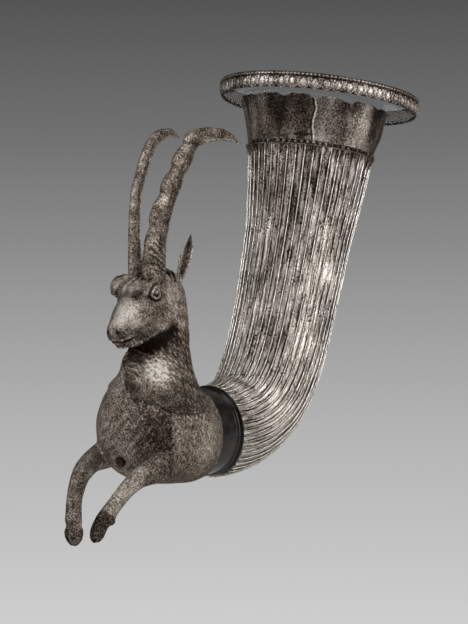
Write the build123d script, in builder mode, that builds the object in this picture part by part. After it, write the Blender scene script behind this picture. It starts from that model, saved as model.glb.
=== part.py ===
import os
from math import cos, pi, radians, sin, tan

from build123d import *

os.makedirs("parts", exist_ok=True)

# main sizes of the drinking horn, millimetres and degrees
mouth_radius = 65.0
mouth_lean = 10.3
ring_height = 9.9
ring_wall = 4.4
egg_count = 56
egg_proud = 0.8
neck_low_radius = 39.8
neck_top_radius = 46.9
sheet_wall = 1.4
former_wall = 2.0
flange_wall = 0.5
flange_lap = 1.2
rim_gap = 0.096
bite_radius = 6.0
horn_reach = 106.6
horn_drop = 201.0
horn_band_drop = 35.2
horn_wall = 2.0
flute_count = 44
flute_depth = 0.9
band_height = 3.4
band_proud = 1.3
collar_length = 22.4
collar_radius = 26.2
collar_lap = 4.0
spigot_wall = 3.2
spigot_play = 0.15

# main sizes of the animal
body_half_width = 36.0
shell_wall = 2.2
neck_half_width = 17.0
head_rise = 98.0
horn_rise = 178.0
horn_width = 7.0
ear_rise = 118.0
ear_width = 3.8
leg_reach = 101.0
leg_width = 10.0
spout_radius = 3.2
spout_bore = 2.0
spout_length = 14.0
spout_pitch = 20.0
seam_tilt = 20.0

# places taken from the sizes
body_back = -(horn_reach + collar_length)
axis_level = -horn_drop
band_y = -0.146 * mouth_radius
rim_y = -0.081 * mouth_radius
rim_level = -(ring_height / 2 + flange_wall + rim_gap)
rim_z = (rim_level - rim_y * sin(radians(mouth_lean))) / cos(radians(mouth_lean))
ring_inner_radius = mouth_radius - ring_wall
horn_end_share = 0.636
collar_front_spigot = 0.92 * collar_radius
collar_rear_spigot = horn_end_share * neck_low_radius - horn_wall - spigot_play

# spine of the horn: reach and drop of each control point as shares of the whole
spine_shares = [(1.0, 1.0), (0.45, 1.0), (0.426, 0.800)]
spine_last_share = 0.502

# one flute across its pitch: place as a share of the pitch, sink as a share of the flute depth
flute_shares = [(0.0, 0.0), (0.18, 0.0), (0.40, 1.0), (0.78, 1.0)]

# stations of the horn: share of the spine length, then radius as a share of the band radius
horn_shares = [
    (0.0, horn_end_share),
    (0.08, 0.685),
    (0.16, 0.728),
    (0.25, 0.762),
    (0.36, 0.779),
    (0.54, 0.797),
    (0.75, 0.866),
    (0.98, 0.990),
    (1.0, 1.0),
]

# plain neck: share of its height, then share of its flare
neck_shares = [(0.0, 0.0), (0.12, 0.0), (0.55, 0.38), (1.0, 1.0)]

# bites out of the broken edge: place round the rim, width and depth as shares of the bite radius
bite_shares = [
    (0.02, 0.9, 0.25),
    (0.10, 0.6, 0.35),
    (0.17, 1.3, 0.30),
    (0.27, 0.8, 0.20),
    (0.36, 1.1, 0.35),
    (0.45, 0.7, 0.30),
    (0.53, 1.4, 0.25),
    (0.63, 0.8, 0.35),
    (0.71, 1.0, 0.20),
    (0.79, 1.2, 0.40),
    (0.86, 0.7, 0.55),
    (0.93, 1.5, 0.45),
]

# mouth ring from below upward: level as a share of its height, radius as a share of the mouth radius
egg_shares = [(-0.5, 0.957), (-0.2, 0.983), (0.25, 0.987)]
lip_shares = [(0.25, 0.984), (0.37, 1.0), (0.5, 0.986)]

# one egg across its pitch: place as a share of the pitch, then share of how far it stands proud
egg_outline = [(0.0, 0.0), (0.3, 1.0), (0.7, 1.0)]

# one bead across its pitch: place as a share of the pitch, then share of how far it stands proud
bead_shares = [(0.0, 0.2), (0.3, 1.0), (0.7, 1.0)]

# steps of the dark collar from the horn forward: start and end as shares of its length, radius as a share
collar_shares = [(0.0, 0.05, 1.0), (0.05, 0.12, 0.93), (0.12, 0.22, 0.99), (0.22, 1.0, 0.96)]

# barrel of the body: forward, rise and half width as shares of its half width, then height over width
body_shares = [
    (0.000, 0.000, 0.736, 1.00),
    (0.194, 0.022, 0.894, 0.87),
    (0.444, 0.083, 0.978, 0.87),
    (0.750, 0.111, 1.000, 0.87),
    (1.028, 0.117, 0.972, 0.87),
    (1.278, 0.125, 0.847, 0.87),
    (1.472, 0.139, 0.625, 0.87),
    (1.597, 0.167, 0.306, 0.87),
]

# neck of the animal: forward and rise as shares of the head rise, half width as a share of its own
animal_neck_shares = [
    (0.276, 0.102, 1.35),
    (0.286, 0.245, 1.50),
    (0.272, 0.337, 1.44),
    (0.257, 0.429, 1.25),
    (0.251, 0.531, 1.08),
    (0.245, 0.653, 1.01),
    (0.224, 0.796, 0.95),
    (0.219, 0.888, 0.86),
    (0.233, 0.949, 0.68),
    (0.255, 0.990, 0.35),
]
animal_neck_depth = 1.06

# head: forward and rise as shares of the head rise, radius as a share of the neck half width
head_shares = [
    (0.184, 0.888, 0.56),
    (0.250, 0.867, 0.78),
    (0.316, 0.835, 0.86),
    (0.378, 0.796, 0.86),
    (0.444, 0.745, 0.72),
    (0.515, 0.689, 0.58),
    (0.577, 0.639, 0.49),
    (0.618, 0.604, 0.40),
    (0.643, 0.582, 0.22),
]
head_pitch = 40.0

# a rounded boss: height and radius as shares of its radius
boss_shares = [(-1.0, 1.0), (0.2, 1.0), (0.9, 0.5)]

# brows and eyes: side, forward, rise and radius as shares of the head rise, then outward turn
brow_shares = [(0.105, 0.430, 0.905, 0.052, 35.0), (0.118, 0.400, 0.865, 0.047, 65.0)]

# limbs: side, forward and rise as shares of the reach, half depth over the width, lean of the section
left_leg_shares = [
    (0.228, 0.356, -0.099, 1.15, -125.0),
    (0.238, 0.493, -0.131, 1.00, -125.0),
    (0.238, 0.602, -0.154, 0.84, -125.0),
    (0.228, 0.678, -0.190, 0.65, -125.0),
    (0.218, 0.766, -0.263, 0.55, -125.0),
    (0.208, 0.855, -0.356, 0.49, -125.0),
    (0.203, 0.881, -0.386, 0.61, -125.0),
    (0.193, 0.927, -0.424, 0.52, -125.0),
    (0.183, 0.966, -0.480, 0.54, -125.0),
    (0.178, 0.994, -0.525, 0.16, -125.0),
]
right_leg_shares = [
    (-0.228, 0.277, -0.079, 1.35, -140.0),
    (-0.257, 0.412, -0.104, 1.25, -140.0),
    (-0.238, 0.552, -0.126, 0.94, -140.0),
    (-0.218, 0.657, -0.161, 0.76, -140.0),
    (-0.208, 0.710, -0.214, 0.66, -140.0),
    (-0.193, 0.748, -0.325, 0.60, -140.0),
    (-0.183, 0.764, -0.437, 0.67, -140.0),
    (-0.178, 0.767, -0.517, 0.73, -140.0),
    (-0.178, 0.764, -0.609, 0.16, -140.0),
]
left_horn_shares = [
    (0.046, 0.197, 0.470, 0.85, 22.0),
    (0.051, 0.209, 0.567, 1.00, 22.0),
    (0.055, 0.207, 0.646, 0.89, 22.0),
    (0.060, 0.198, 0.691, 0.80, 22.0),
    (0.062, 0.200, 0.719, 0.92, 22.0),
    (0.071, 0.172, 0.783, 0.72, 22.0),
    (0.075, 0.164, 0.817, 0.83, 22.0),
    (0.083, 0.130, 0.878, 0.66, 22.0),
    (0.087, 0.112, 0.910, 0.75, 22.0),
    (0.096, 0.080, 0.965, 0.66, 50.0),
    (0.106, 0.034, 0.994, 0.52, 80.0),
    (0.114, -0.014, 1.002, 0.43, 80.0),
    (0.124, -0.069, 0.995, 0.33, 80.0),
    (0.135, -0.116, 0.970, 0.08, 110.0),
]
right_horn_shares = [
    (-0.044, 0.190, 0.470, 0.66, 22.0),
    (-0.048, 0.196, 0.567, 0.72, 22.0),
    (-0.053, 0.194, 0.646, 0.60, 22.0),
    (-0.060, 0.185, 0.728, 0.58, 22.0),
    (-0.066, 0.170, 0.793, 0.54, 22.0),
    (-0.071, 0.155, 0.826, 0.59, 22.0),
    (-0.081, 0.113, 0.902, 0.54, 22.0),
    (-0.090, 0.070, 0.960, 0.50, 50.0),
    (-0.097, 0.030, 0.990, 0.43, 80.0),
    (-0.101, -0.013, 1.005, 0.35, 80.0),
    (-0.110, -0.058, 1.005, 0.27, 80.0),
    (-0.118, -0.096, 0.990, 0.07, 110.0),
]
left_ear_shares = [
    (0.075, 0.188, 0.752, 0.80, 0.0),
    (0.118, 0.188, 0.785, 0.85, 0.0),
    (0.136, 0.184, 0.850, 1.00, 0.0),
    (0.147, 0.175, 0.908, 0.95, 0.0),
    (0.153, 0.167, 0.958, 0.60, 0.0),
    (0.157, 0.160, 1.003, 0.12, 0.0),
]
right_ear_shares = [
    (-0.075, 0.188, 0.752, 0.80, 0.0),
    (-0.118, 0.188, 0.785, 0.85, 0.0),
    (-0.131, 0.186, 0.828, 0.62, 0.0),
]


def spot(side, forward, rise):
    """Point in the animal, forward of the rear rim of the body and above the collar axis."""
    return Vector(side, body_back - forward, axis_level + rise)


def leaning(origin, lean):
    """Plane through a point, facing up when the lean is nought and backward as the lean grows."""
    look = (0, sin(radians(lean)), cos(radians(lean)))
    return Plane(origin=origin, x_dir=(1, 0, 0), z_dir=look)


def across_mouth(y=0, z=0, level=0):
    """Plane across the mouth through a point of the middle plane, raised along the mouth's own axis."""
    return leaning((0, y, z), mouth_lean).offset(level)


def oval_points(half_x, half_y, sides, fullness=2.0):
    """Corners of an oval; a fullness above 2 squares it."""
    points = []
    for i in range(sides):
        c = cos(2 * pi * (i + 0.5) / sides)
        s = sin(2 * pi * (i + 0.5) / sides)
        px = half_x * abs(c) ** (2 / fullness) * (1 if c > 0 else -1)
        py = half_y * abs(s) ** (2 / fullness) * (1 if s > 0 else -1)
        points.append((px, py))
    return points


def skin(rings):
    """Solid inside flat facets drawn between rings of equally many corners, closed at both ends."""
    faces = [Face(Wire.make_polygon(rings[0])), Face(Wire.make_polygon(rings[-1]))]
    for near, far in zip(rings[:-1], rings[1:]):
        for i in range(len(near)):
            j = (i + 1) % len(near)
            faces.append(Face(Wire.make_polygon([near[i], near[j], far[i]])))
            faces.append(Face(Wire.make_polygon([near[j], far[j], far[i]])))
    return Solid(Shell(faces))


def ring_on(plane, half_x, half_y, sides, fullness=2.0):
    """Corners of an oval, placed on a plane."""
    corners = oval_points(half_x, half_y, sides, fullness)
    return [plane.from_local_coords(Vector(x, y, 0)) for x, y in corners]


def drum(planes, radius, sides):
    """Round form of one radius between two planes."""
    return skin([ring_on(plane, radius, radius, sides) for plane in planes])


def repeated(plane, count, radius, step, shape):
    """Corners round a circle with one wave per pitch: place in the pitch, then share of the step."""
    points = []
    for i in range(count):
        for place, share in shape:
            corner = Vector(radius + share * step, 0).rotate(Axis.Z, (i + place) * 360 / count)
            points.append(plane.from_local_coords(corner))
    return points


def neck_sleeve(rows, inset):
    """Round sleeve through stations of the plain neck, its surface set in by the inset."""
    sections = []
    for share, flare in rows:
        y = band_y + share * (rim_y - band_y)
        z = -horn_band_drop + share * (rim_z + horn_band_drop)
        radius = neck_low_radius + flare * (neck_top_radius - neck_low_radius) - inset
        sections.append(ring_on(across_mouth(y, z), radius, radius, flute_count))
    return skin(sections)


def collar_step(start, end, radius):
    """Round step of the collar, its ends placed by shares of the collar length."""
    ends = [leaning(spot(0, (share - 1) * collar_length, 0), -90) for share in (start, end)]
    return drum(ends, radius, flute_count)


def body_barrel(inset):
    """Barrel of the body, from the rear rim to the breast, its surface set in by the inset."""
    sections = []
    for f, u, a, ratio in body_shares:
        place = spot(0, f * (body_half_width - inset), u * body_half_width)
        half = a * body_half_width - inset
        sections.append(ring_on(leaning(place, -90), half, half * ratio, 24, 2.15))
    return skin(sections)


def animal_neck(inset, count):
    """Neck of the animal through level sections, counted from the body upward."""
    sections = []
    for f, u, a in animal_neck_shares[:count]:
        half = a * neck_half_width - inset
        level = leaning(spot(0, f * head_rise, u * head_rise), 0)
        sections.append(ring_on(level, half, half * animal_neck_depth, 24))
    return skin(sections)


def limb(rows, reach, width, ratio, sides):
    """Limb through oval sections along its path, narrower across than deep by the ratio."""
    sections = []
    for side, forward, rise, half, lean in rows:
        cut = leaning(spot(side * reach, forward * reach, rise * reach), lean)
        sections.append(ring_on(cut, half * width * ratio, half * width, sides))
    return skin(sections)


# spine of the horn, a smooth curve in the upright middle plane that ends square to the mouth
spine_points = [(-y * horn_reach, -z * horn_drop) for y, z in spine_shares]
spine_fall = spine_last_share * horn_drop - horn_band_drop
spine_points.append((band_y - spine_fall * tan(radians(mouth_lean)), -spine_last_share * horn_drop))
spine_points.append((band_y, -horn_band_drop))
with BuildLine(Plane.YZ) as spine:
    Bezier(*spine_points)

# fluted horn, a curved tube open at both ends
with BuildPart() as fluted_horn:
    outer = []
    bore = []
    for share, wide in horn_shares:
        square = Plane(origin=spine.line @ share, x_dir=(1, 0, 0), z_dir=spine.line % share)
        radius = wide * neck_low_radius
        depth = flute_depth * wide if share < 1 else 0
        outer.append(repeated(square, flute_count, radius, -depth, flute_shares))
        bore.append(ring_on(square, radius - horn_wall, radius - horn_wall, flute_count))
    add(skin(outer))
    add(skin(bore), mode=Mode.SUBTRACT)
fluted_horn.part.label = "fluted_horn"
export_step(fluted_horn.part, "parts/fluted_horn.step")

# plain neck above the flutes, its upper edge broken away in bites
with BuildPart() as cup_neck:
    add(neck_sleeve(neck_shares, 0))
    add(neck_sleeve(neck_shares, sheet_wall), mode=Mode.SUBTRACT)
    rim = across_mouth(rim_y, rim_z)
    for turn, wide, deep in bite_shares:
        across = rim.x_dir.rotate(Axis((0, 0, 0), rim.z_dir), turn * 360)
        place = rim.origin + rim.z_dir * bite_radius * (wide - deep)
        start = Plane(origin=place, x_dir=rim.z_dir, z_dir=across)
        add(drum([start, start.offset(mouth_radius)], wide * bite_radius, 8), mode=Mode.SUBTRACT)
cup_neck.part.label = "cup_neck"
export_step(cup_neck.part, "parts/cup_neck.step")

# row of beads round the foot of the neck
with BuildPart() as bead_band:
    beads = []
    for share in (0, 1):
        level = across_mouth(band_y, -horn_band_drop, share * band_height)
        beads.append(repeated(level, flute_count, neck_low_radius, band_proud, bead_shares))
    add(skin(beads))
    add(neck_sleeve(neck_shares[:2], 0), mode=Mode.SUBTRACT)
bead_band.part.label = "bead_band"
export_step(bead_band.part, "parts/bead_band.step")

# mouth ring: a row of eggs under a plain lip, standing clear of the neck
with BuildPart() as mouth_ring:
    eggs = []
    for height, wide in egg_shares:
        level = across_mouth(level=height * ring_height)
        eggs.append(repeated(level, egg_count, wide * mouth_radius - egg_proud, egg_proud, egg_outline))
    add(skin(eggs))
    lip = []
    for height, wide in lip_shares:
        level = across_mouth(level=height * ring_height)
        lip.append(ring_on(level, wide * mouth_radius, wide * mouth_radius, egg_count))
    add(skin(lip))
    with BuildSketch(across_mouth(level=-ring_height / 2)):
        Circle(ring_inner_radius)
    extrude(amount=ring_height, mode=Mode.SUBTRACT)
mouth_ring.part.label = "mouth_ring"
export_step(mouth_ring.part, "parts/mouth_ring.step")

# clear former: a sleeve inside the neck under a flange that carries the mouth ring
with BuildPart() as neck_former:
    add(neck_sleeve(neck_shares[1:], sheet_wall))
    with BuildSketch(across_mouth(level=-ring_height / 2)):
        Circle(ring_inner_radius + flange_lap)
    extrude(amount=-flange_wall)
    rim_radius = neck_top_radius - sheet_wall
    riser = [across_mouth(rim_y, rim_z), across_mouth(rim_y, rim_z, rim_gap + flange_wall / 2)]
    add(drum(riser, rim_radius, flute_count))
    add(neck_sleeve(neck_shares[1:], sheet_wall + former_wall), mode=Mode.SUBTRACT)
    throat = [across_mouth(rim_y, rim_z, ring_height * share) for share in (0, 1)]
    add(drum(throat, rim_radius - former_wall, flute_count), mode=Mode.SUBTRACT)
neck_former.part.label = "neck_former"
export_step(neck_former.part, "parts/neck_former.step")

# dark collar between horn and animal: bead, groove and broad band, with a spigot into each side
lap_share = collar_lap / collar_length
with BuildPart() as joint_collar:
    for start, end, wide in collar_shares:
        add(collar_step(start, end, wide * collar_radius))
    add(collar_step(-lap_share, 0, collar_rear_spigot))
    add(collar_step(1, 1 + lap_share, collar_front_spigot))
    add(collar_step(-1, 2, collar_rear_spigot - spigot_wall), mode=Mode.SUBTRACT)
joint_collar.part.label = "joint_collar"
export_step(joint_collar.part, "parts/joint_collar.step")

# outer forms that several pieces of the animal share
with BuildPart() as body_form:
    add(body_barrel(0))
    add(animal_neck(0, len(animal_neck_shares)))
with BuildPart() as head_form:
    head = []
    for f, u, a in head_shares:
        cut = leaning(spot(0, f * head_rise, u * head_rise), -90 - head_pitch)
        head.append(ring_on(cut, a * neck_half_width, a * neck_half_width, 20))
    add(skin(head))
    for hand in (-1, 1):
        for s, f, u, size, turn in brow_shares:
            look = Vector(hand * sin(radians(turn)), -cos(radians(turn)), 0)
            place = spot(hand * s * head_rise, f * head_rise, u * head_rise)
            base = Plane(origin=place, x_dir=(0, 0, 1), z_dir=look)
            wide = size * head_rise
            add(skin([ring_on(base.offset(h * wide), r * wide, r * wide, 8) for h, r in boss_shares]))
seam_look = (sin(radians(seam_tilt)), 0, cos(radians(seam_tilt)))
seam_plane = Plane(origin=spot(0, 0.27 * head_rise, 0.275 * head_rise), x_dir=(0, 1, 0), z_dir=seam_look)
spout_plane = leaning(spot(0, 0.597 * head_rise, -0.139 * head_rise), -90 - spout_pitch)


def spout_rod(radius, start, end):
    """Rod along the spout, its ends given as shares of the spout length from the tip."""
    return drum([spout_plane.offset(share * spout_length) for share in (start, end)], radius, 12)


# hollow body of the animal, open to the collar behind and to the spout in front
with BuildPart() as animal_body:
    add(body_form.part)
    split(bisect_by=seam_plane, keep=Keep.BOTTOM)
    add(body_barrel(shell_wall), mode=Mode.SUBTRACT)
    add(animal_neck(shell_wall, 7), mode=Mode.SUBTRACT)
    add(collar_step(0, 1 + lap_share, collar_front_spigot), mode=Mode.SUBTRACT)
    add(spout_rod(spout_radius, -1, 0), mode=Mode.SUBTRACT)
animal_body.part.label = "animal_body"
export_step(animal_body.part, "parts/animal_body.step")

# neck and head of the animal, the neck hollow, soldered on along the seam
with BuildPart() as animal_head:
    add(animal_neck(0, len(animal_neck_shares)))
    add(head_form.part)
    split(bisect_by=seam_plane, keep=Keep.TOP)
    add(animal_neck(shell_wall, 7), mode=Mode.SUBTRACT)
animal_head.part.label = "animal_head"
export_step(animal_head.part, "parts/animal_head.step")

# forelegs, solid, soldered to the body
with BuildPart() as left_foreleg:
    add(limb(left_leg_shares, leg_reach, leg_width, 0.8, 12))
    add(body_form.part, mode=Mode.SUBTRACT)
left_foreleg.part.label = "left_foreleg"
export_step(left_foreleg.part, "parts/left_foreleg.step")
with BuildPart() as right_foreleg:
    add(limb(right_leg_shares, leg_reach, leg_width, 0.7, 12))
    add(body_form.part, mode=Mode.SUBTRACT)
right_foreleg.part.label = "right_foreleg"
export_step(right_foreleg.part, "parts/right_foreleg.step")

# horns of the animal, solid, knobbed along the front, soldered to the crown
with BuildPart() as left_horn:
    add(limb(left_horn_shares, horn_rise, horn_width, 0.75, 10))
    add(body_form.part, mode=Mode.SUBTRACT)
    add(head_form.part, mode=Mode.SUBTRACT)
left_horn.part.label = "left_horn"
export_step(left_horn.part, "parts/left_horn.step")
with BuildPart() as right_horn:
    add(limb(right_horn_shares, horn_rise, horn_width, 0.85, 10))
    add(body_form.part, mode=Mode.SUBTRACT)
    add(head_form.part, mode=Mode.SUBTRACT)
right_horn.part.label = "right_horn"
export_step(right_horn.part, "parts/right_horn.step")

# left ear, a pointed leaf, and the stump of the right one
with BuildPart() as left_ear:
    add(limb(left_ear_shares, ear_rise, ear_width, 0.45, 8))
    add(body_form.part, mode=Mode.SUBTRACT)
    add(head_form.part, mode=Mode.SUBTRACT)
left_ear.part.label = "left_ear"
export_step(left_ear.part, "parts/left_ear.step")
with BuildPart() as right_ear:
    add(limb(right_ear_shares, ear_rise, ear_width, 0.45, 8))
    add(body_form.part, mode=Mode.SUBTRACT)
    add(head_form.part, mode=Mode.SUBTRACT)
right_ear.part.label = "right_ear"
export_step(right_ear.part, "parts/right_ear.step")

# pouring tube in the breast
with BuildPart() as spout:
    add(spout_rod(spout_radius, -1, 0))
    with BuildSketch(spout_plane):
        Circle(spout_bore)
    extrude(amount=-spout_length, mode=Mode.SUBTRACT)
spout.part.label = "spout"
export_step(spout.part, "parts/spout.step")
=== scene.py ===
import math
import bmesh
import bpy
import mathutils
import numpy as np
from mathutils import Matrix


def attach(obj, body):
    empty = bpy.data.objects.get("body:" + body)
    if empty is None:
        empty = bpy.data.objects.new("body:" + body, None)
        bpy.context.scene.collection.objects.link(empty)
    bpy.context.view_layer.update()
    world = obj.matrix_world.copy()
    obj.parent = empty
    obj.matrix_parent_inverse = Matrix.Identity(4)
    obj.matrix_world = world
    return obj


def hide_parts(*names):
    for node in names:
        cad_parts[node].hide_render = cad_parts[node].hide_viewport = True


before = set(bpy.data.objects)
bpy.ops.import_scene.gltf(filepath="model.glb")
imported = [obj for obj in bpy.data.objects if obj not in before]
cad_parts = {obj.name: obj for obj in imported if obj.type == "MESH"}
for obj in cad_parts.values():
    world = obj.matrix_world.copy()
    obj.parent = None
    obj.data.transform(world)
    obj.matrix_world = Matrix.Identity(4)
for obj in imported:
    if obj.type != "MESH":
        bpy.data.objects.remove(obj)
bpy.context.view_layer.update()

# Places are worked out in millimetres and turned to metres where a mesh is made.
# Object frame: origin at the centre of the mouth ring, +Z up, the animal faces -Y.
mm = 0.001
wholeTurn = 2 * math.pi


def hexColour(text):
    # sRGB hex to linear, with alpha 1
    values = np.array([int(text[i:i + 2], 16) for i in (1, 3, 5)]) / 255
    linear = np.where(values <= 0.04045, values / 12.92, ((values + 0.055) / 1.055) ** 2.4)
    return (*linear.tolist(), 1.0)


def addNode(tree, kind, settings=None, links=None):
    # adds a node, sets its fields and sockets, and links named or numbered inputs
    node = tree.nodes.new(kind)
    for name, value in (settings or {}).items():
        if isinstance(name, str) and hasattr(node, name):
            setattr(node, name, value)
        else:
            node.inputs[name].default_value = value
    for name, socket in (links or {}).items():
        tree.links.new(socket, node.inputs[name])
    return node


def smoothStep(low, high, value):
    # 0 below low, 1 above high, a smooth S between
    share = np.clip((value - low) / (high - low), 0, 1)
    return share * share * (3 - 2 * share)


def hill(away, width):
    # 1 where away is nought, falling off smoothly over the width
    return np.exp(-(away / width) ** 2)


def bump(places, centre, size):
    # a round hill of height 1 about a centre, falling off over the size; the size may differ by axis
    return np.exp(-(((places - np.array(centre)) / np.array(size)) ** 2).sum(-1))


def roughField(points, size, seed, octaves=3):
    # mean of seven sines in random directions, each octave half as long and half as high: a smooth random field
    rng = np.random.default_rng(seed)
    total = np.zeros(points.shape[:-1])
    for octave in range(octaves):
        waves = rng.normal(size=(7, 3))
        waves *= wholeTurn / (size / 2 ** octave) / np.linalg.norm(waves, axis=1, keepdims=True)
        shifts = rng.uniform(0, wholeTurn, 7)
        total += np.sin(points @ waves.T + shifts).sum(-1) / 7 / 2 ** octave
    return total


def roundAngles(count):
    # evenly spaced angles of one whole turn
    return np.linspace(0, wholeTurn, count, endpoint=False)


def around(angle, side, back):
    # unit directions square to an axis, from its side direction at 0 to its back direction at a quarter turn
    return np.cos(angle)[..., None] * side + np.sin(angle)[..., None] * back


def pathRun(points):
    # distance along a path from its start to each of its points
    return np.concatenate([[0], np.cumsum(np.linalg.norm(np.diff(points, axis=0), axis=1))])


def pathForward(points):
    # unit direction along a path at each of its points
    forward = np.gradient(points, axis=0)
    return forward / np.linalg.norm(forward, axis=1, keepdims=True)


def smoothRows(table, count):
    # Catmull-Rom curve through the table's rows, spaced evenly by the length of its first three columns
    rows = np.array(table, float)
    ends = np.vstack([2 * rows[0] - rows[1], rows, 2 * rows[-1] - rows[-2]])
    fine = np.linspace(0, len(rows) - 1, 60 * len(rows))
    span = np.minimum(fine.astype(int), len(rows) - 2)
    t = (fine - span)[:, None]
    a, b, c, d = (ends[span + k] for k in range(4))
    curve = 0.5 * (2 * b + (c - a) * t + (2 * a - 5 * b + 4 * c - d) * t ** 2 + (3 * b - a - 3 * c + d) * t ** 3)
    run = pathRun(curve[:, :3])
    even = np.linspace(0, run[-1], count)
    return np.stack([np.interp(even, run, curve[:, k]) for k in range(curve.shape[1])], -1)


def gridMesh(name, grids, caps=(), wearAndPaintedLight=None, flow=None, smooth=True):
    # one mesh from grids of points (rows, columns, 3): columns close round, and the grids numbered in caps are
    # closed at both ends; the tone (wear, and on the fluted horn painted shade and painted highlights) and the flow
    # give each grid's attribute, as an array or as one number for all of it
    allPoints, allFaces, start = [], [], 0
    for index, grid in enumerate(grids):
        rows, cols = grid.shape[:2]
        i = np.arange(rows - 1)[:, None] * cols
        j = np.arange(cols)[None, :]
        k = (j + 1) % cols
        allPoints.append(grid.reshape(-1, 3))
        allFaces += (np.stack([i + j, i + k, i + cols + k, i + cols + j], -1).reshape(-1, 4) + start).tolist()
        if index in caps:
            allFaces.append(list(range(start + cols - 1, start - 1, -1)))
            allFaces.append(list(range(start + (rows - 1) * cols, start + rows * cols)))
        start += rows * cols
    mesh = bpy.data.meshes.new(name)
    mesh.from_pydata((np.concatenate(allPoints) * mm).tolist(), [], allFaces)
    for label, kind, field, width, values in (("wearAndPaintedLight", "FLOAT", "value", (), wearAndPaintedLight),
                                              ("flow", "FLOAT_VECTOR", "vector", (3,), flow)):
        if values is not None:
            filled = [np.broadcast_to(v, grid.shape[:2] + width).reshape(-1) for v, grid in zip(values, grids)]
            layer = mesh.attributes.new(label, kind, "POINT")
            layer.data.foreach_set(field, np.concatenate(filled).astype(np.float32))
    mesh.polygons.foreach_set("use_smooth", [smooth] * len(mesh.polygons))
    mesh.update()
    return mesh


def showPiece(name, mesh, material, node):
    # puts a finished mesh in the scene in place of the CAD node that it stands for
    piece = bpy.data.objects.new(name, mesh)
    bpy.context.scene.collection.objects.link(piece)
    piece.data.materials.append(material)
    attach(piece, "root")
    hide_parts(node)


def bakeModifiers(mesh, settings):
    # runs a list of (kind, settings) modifiers on a mesh and gives the finished mesh back
    carrier = bpy.data.objects.new("carrier", mesh)
    bpy.context.scene.collection.objects.link(carrier)
    for kind, values in settings:
        modifier = carrier.modifiers.new(kind.lower(), kind)
        for field, value in values.items():
            setattr(modifier, field, value)
    graph = bpy.context.evaluated_depsgraph_get()
    made = bpy.data.meshes.new_from_object(carrier.evaluated_get(graph))
    bpy.data.objects.remove(carrier)
    return made


def meshArrays(mesh):
    # vertex places in millimetres and their normals
    count = len(mesh.vertices)
    places, normals = np.zeros(count * 3), np.zeros(count * 3)
    mesh.vertices.foreach_get("co", places)
    mesh.vertex_normals.foreach_get("vector", normals)
    return places.reshape(-1, 3) / mm, normals.reshape(-1, 3)


def carve(mesh, places, normals, lift, wearAndPaintedLight):
    # moves each vertex along its normal by its lift in millimetres and stores its tone, from 0 to 1: wear, and on
    # body and head also painted shade and painted highlights
    mesh.vertices.foreach_set("co", ((places + normals * lift[:, None]) * mm).ravel())
    layer = mesh.attributes.new("wearAndPaintedLight", "FLOAT", "POINT")
    layer.data.foreach_set("value", np.clip(wearAndPaintedLight, 0, 1).astype(np.float32))
    mesh.polygons.foreach_set("use_smooth", [True] * len(mesh.polygons))
    mesh.update()


def newMaterial(name):
    # a named material, with its node tree, its shader and the Object coordinates that its patterns read
    material = bpy.data.materials.new(name)
    material.use_nodes = True
    tree = material.node_tree
    return material, tree, tree.nodes["Principled BSDF"], addNode(tree, "ShaderNodeTexCoord").outputs["Object"]


def rampStops(ramp, stops):
    # sets a colour ramp from a list of (position, sRGB hex)
    elements = ramp.color_ramp.elements
    elements[0].position, elements[0].color = stops[0][0], hexColour(stops[0][1])
    elements[1].position, elements[1].color = stops[-1][0], hexColour(stops[-1][1])
    for position, colour in stops[1:-1]:
        elements.new(position).color = hexColour(colour)


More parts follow.
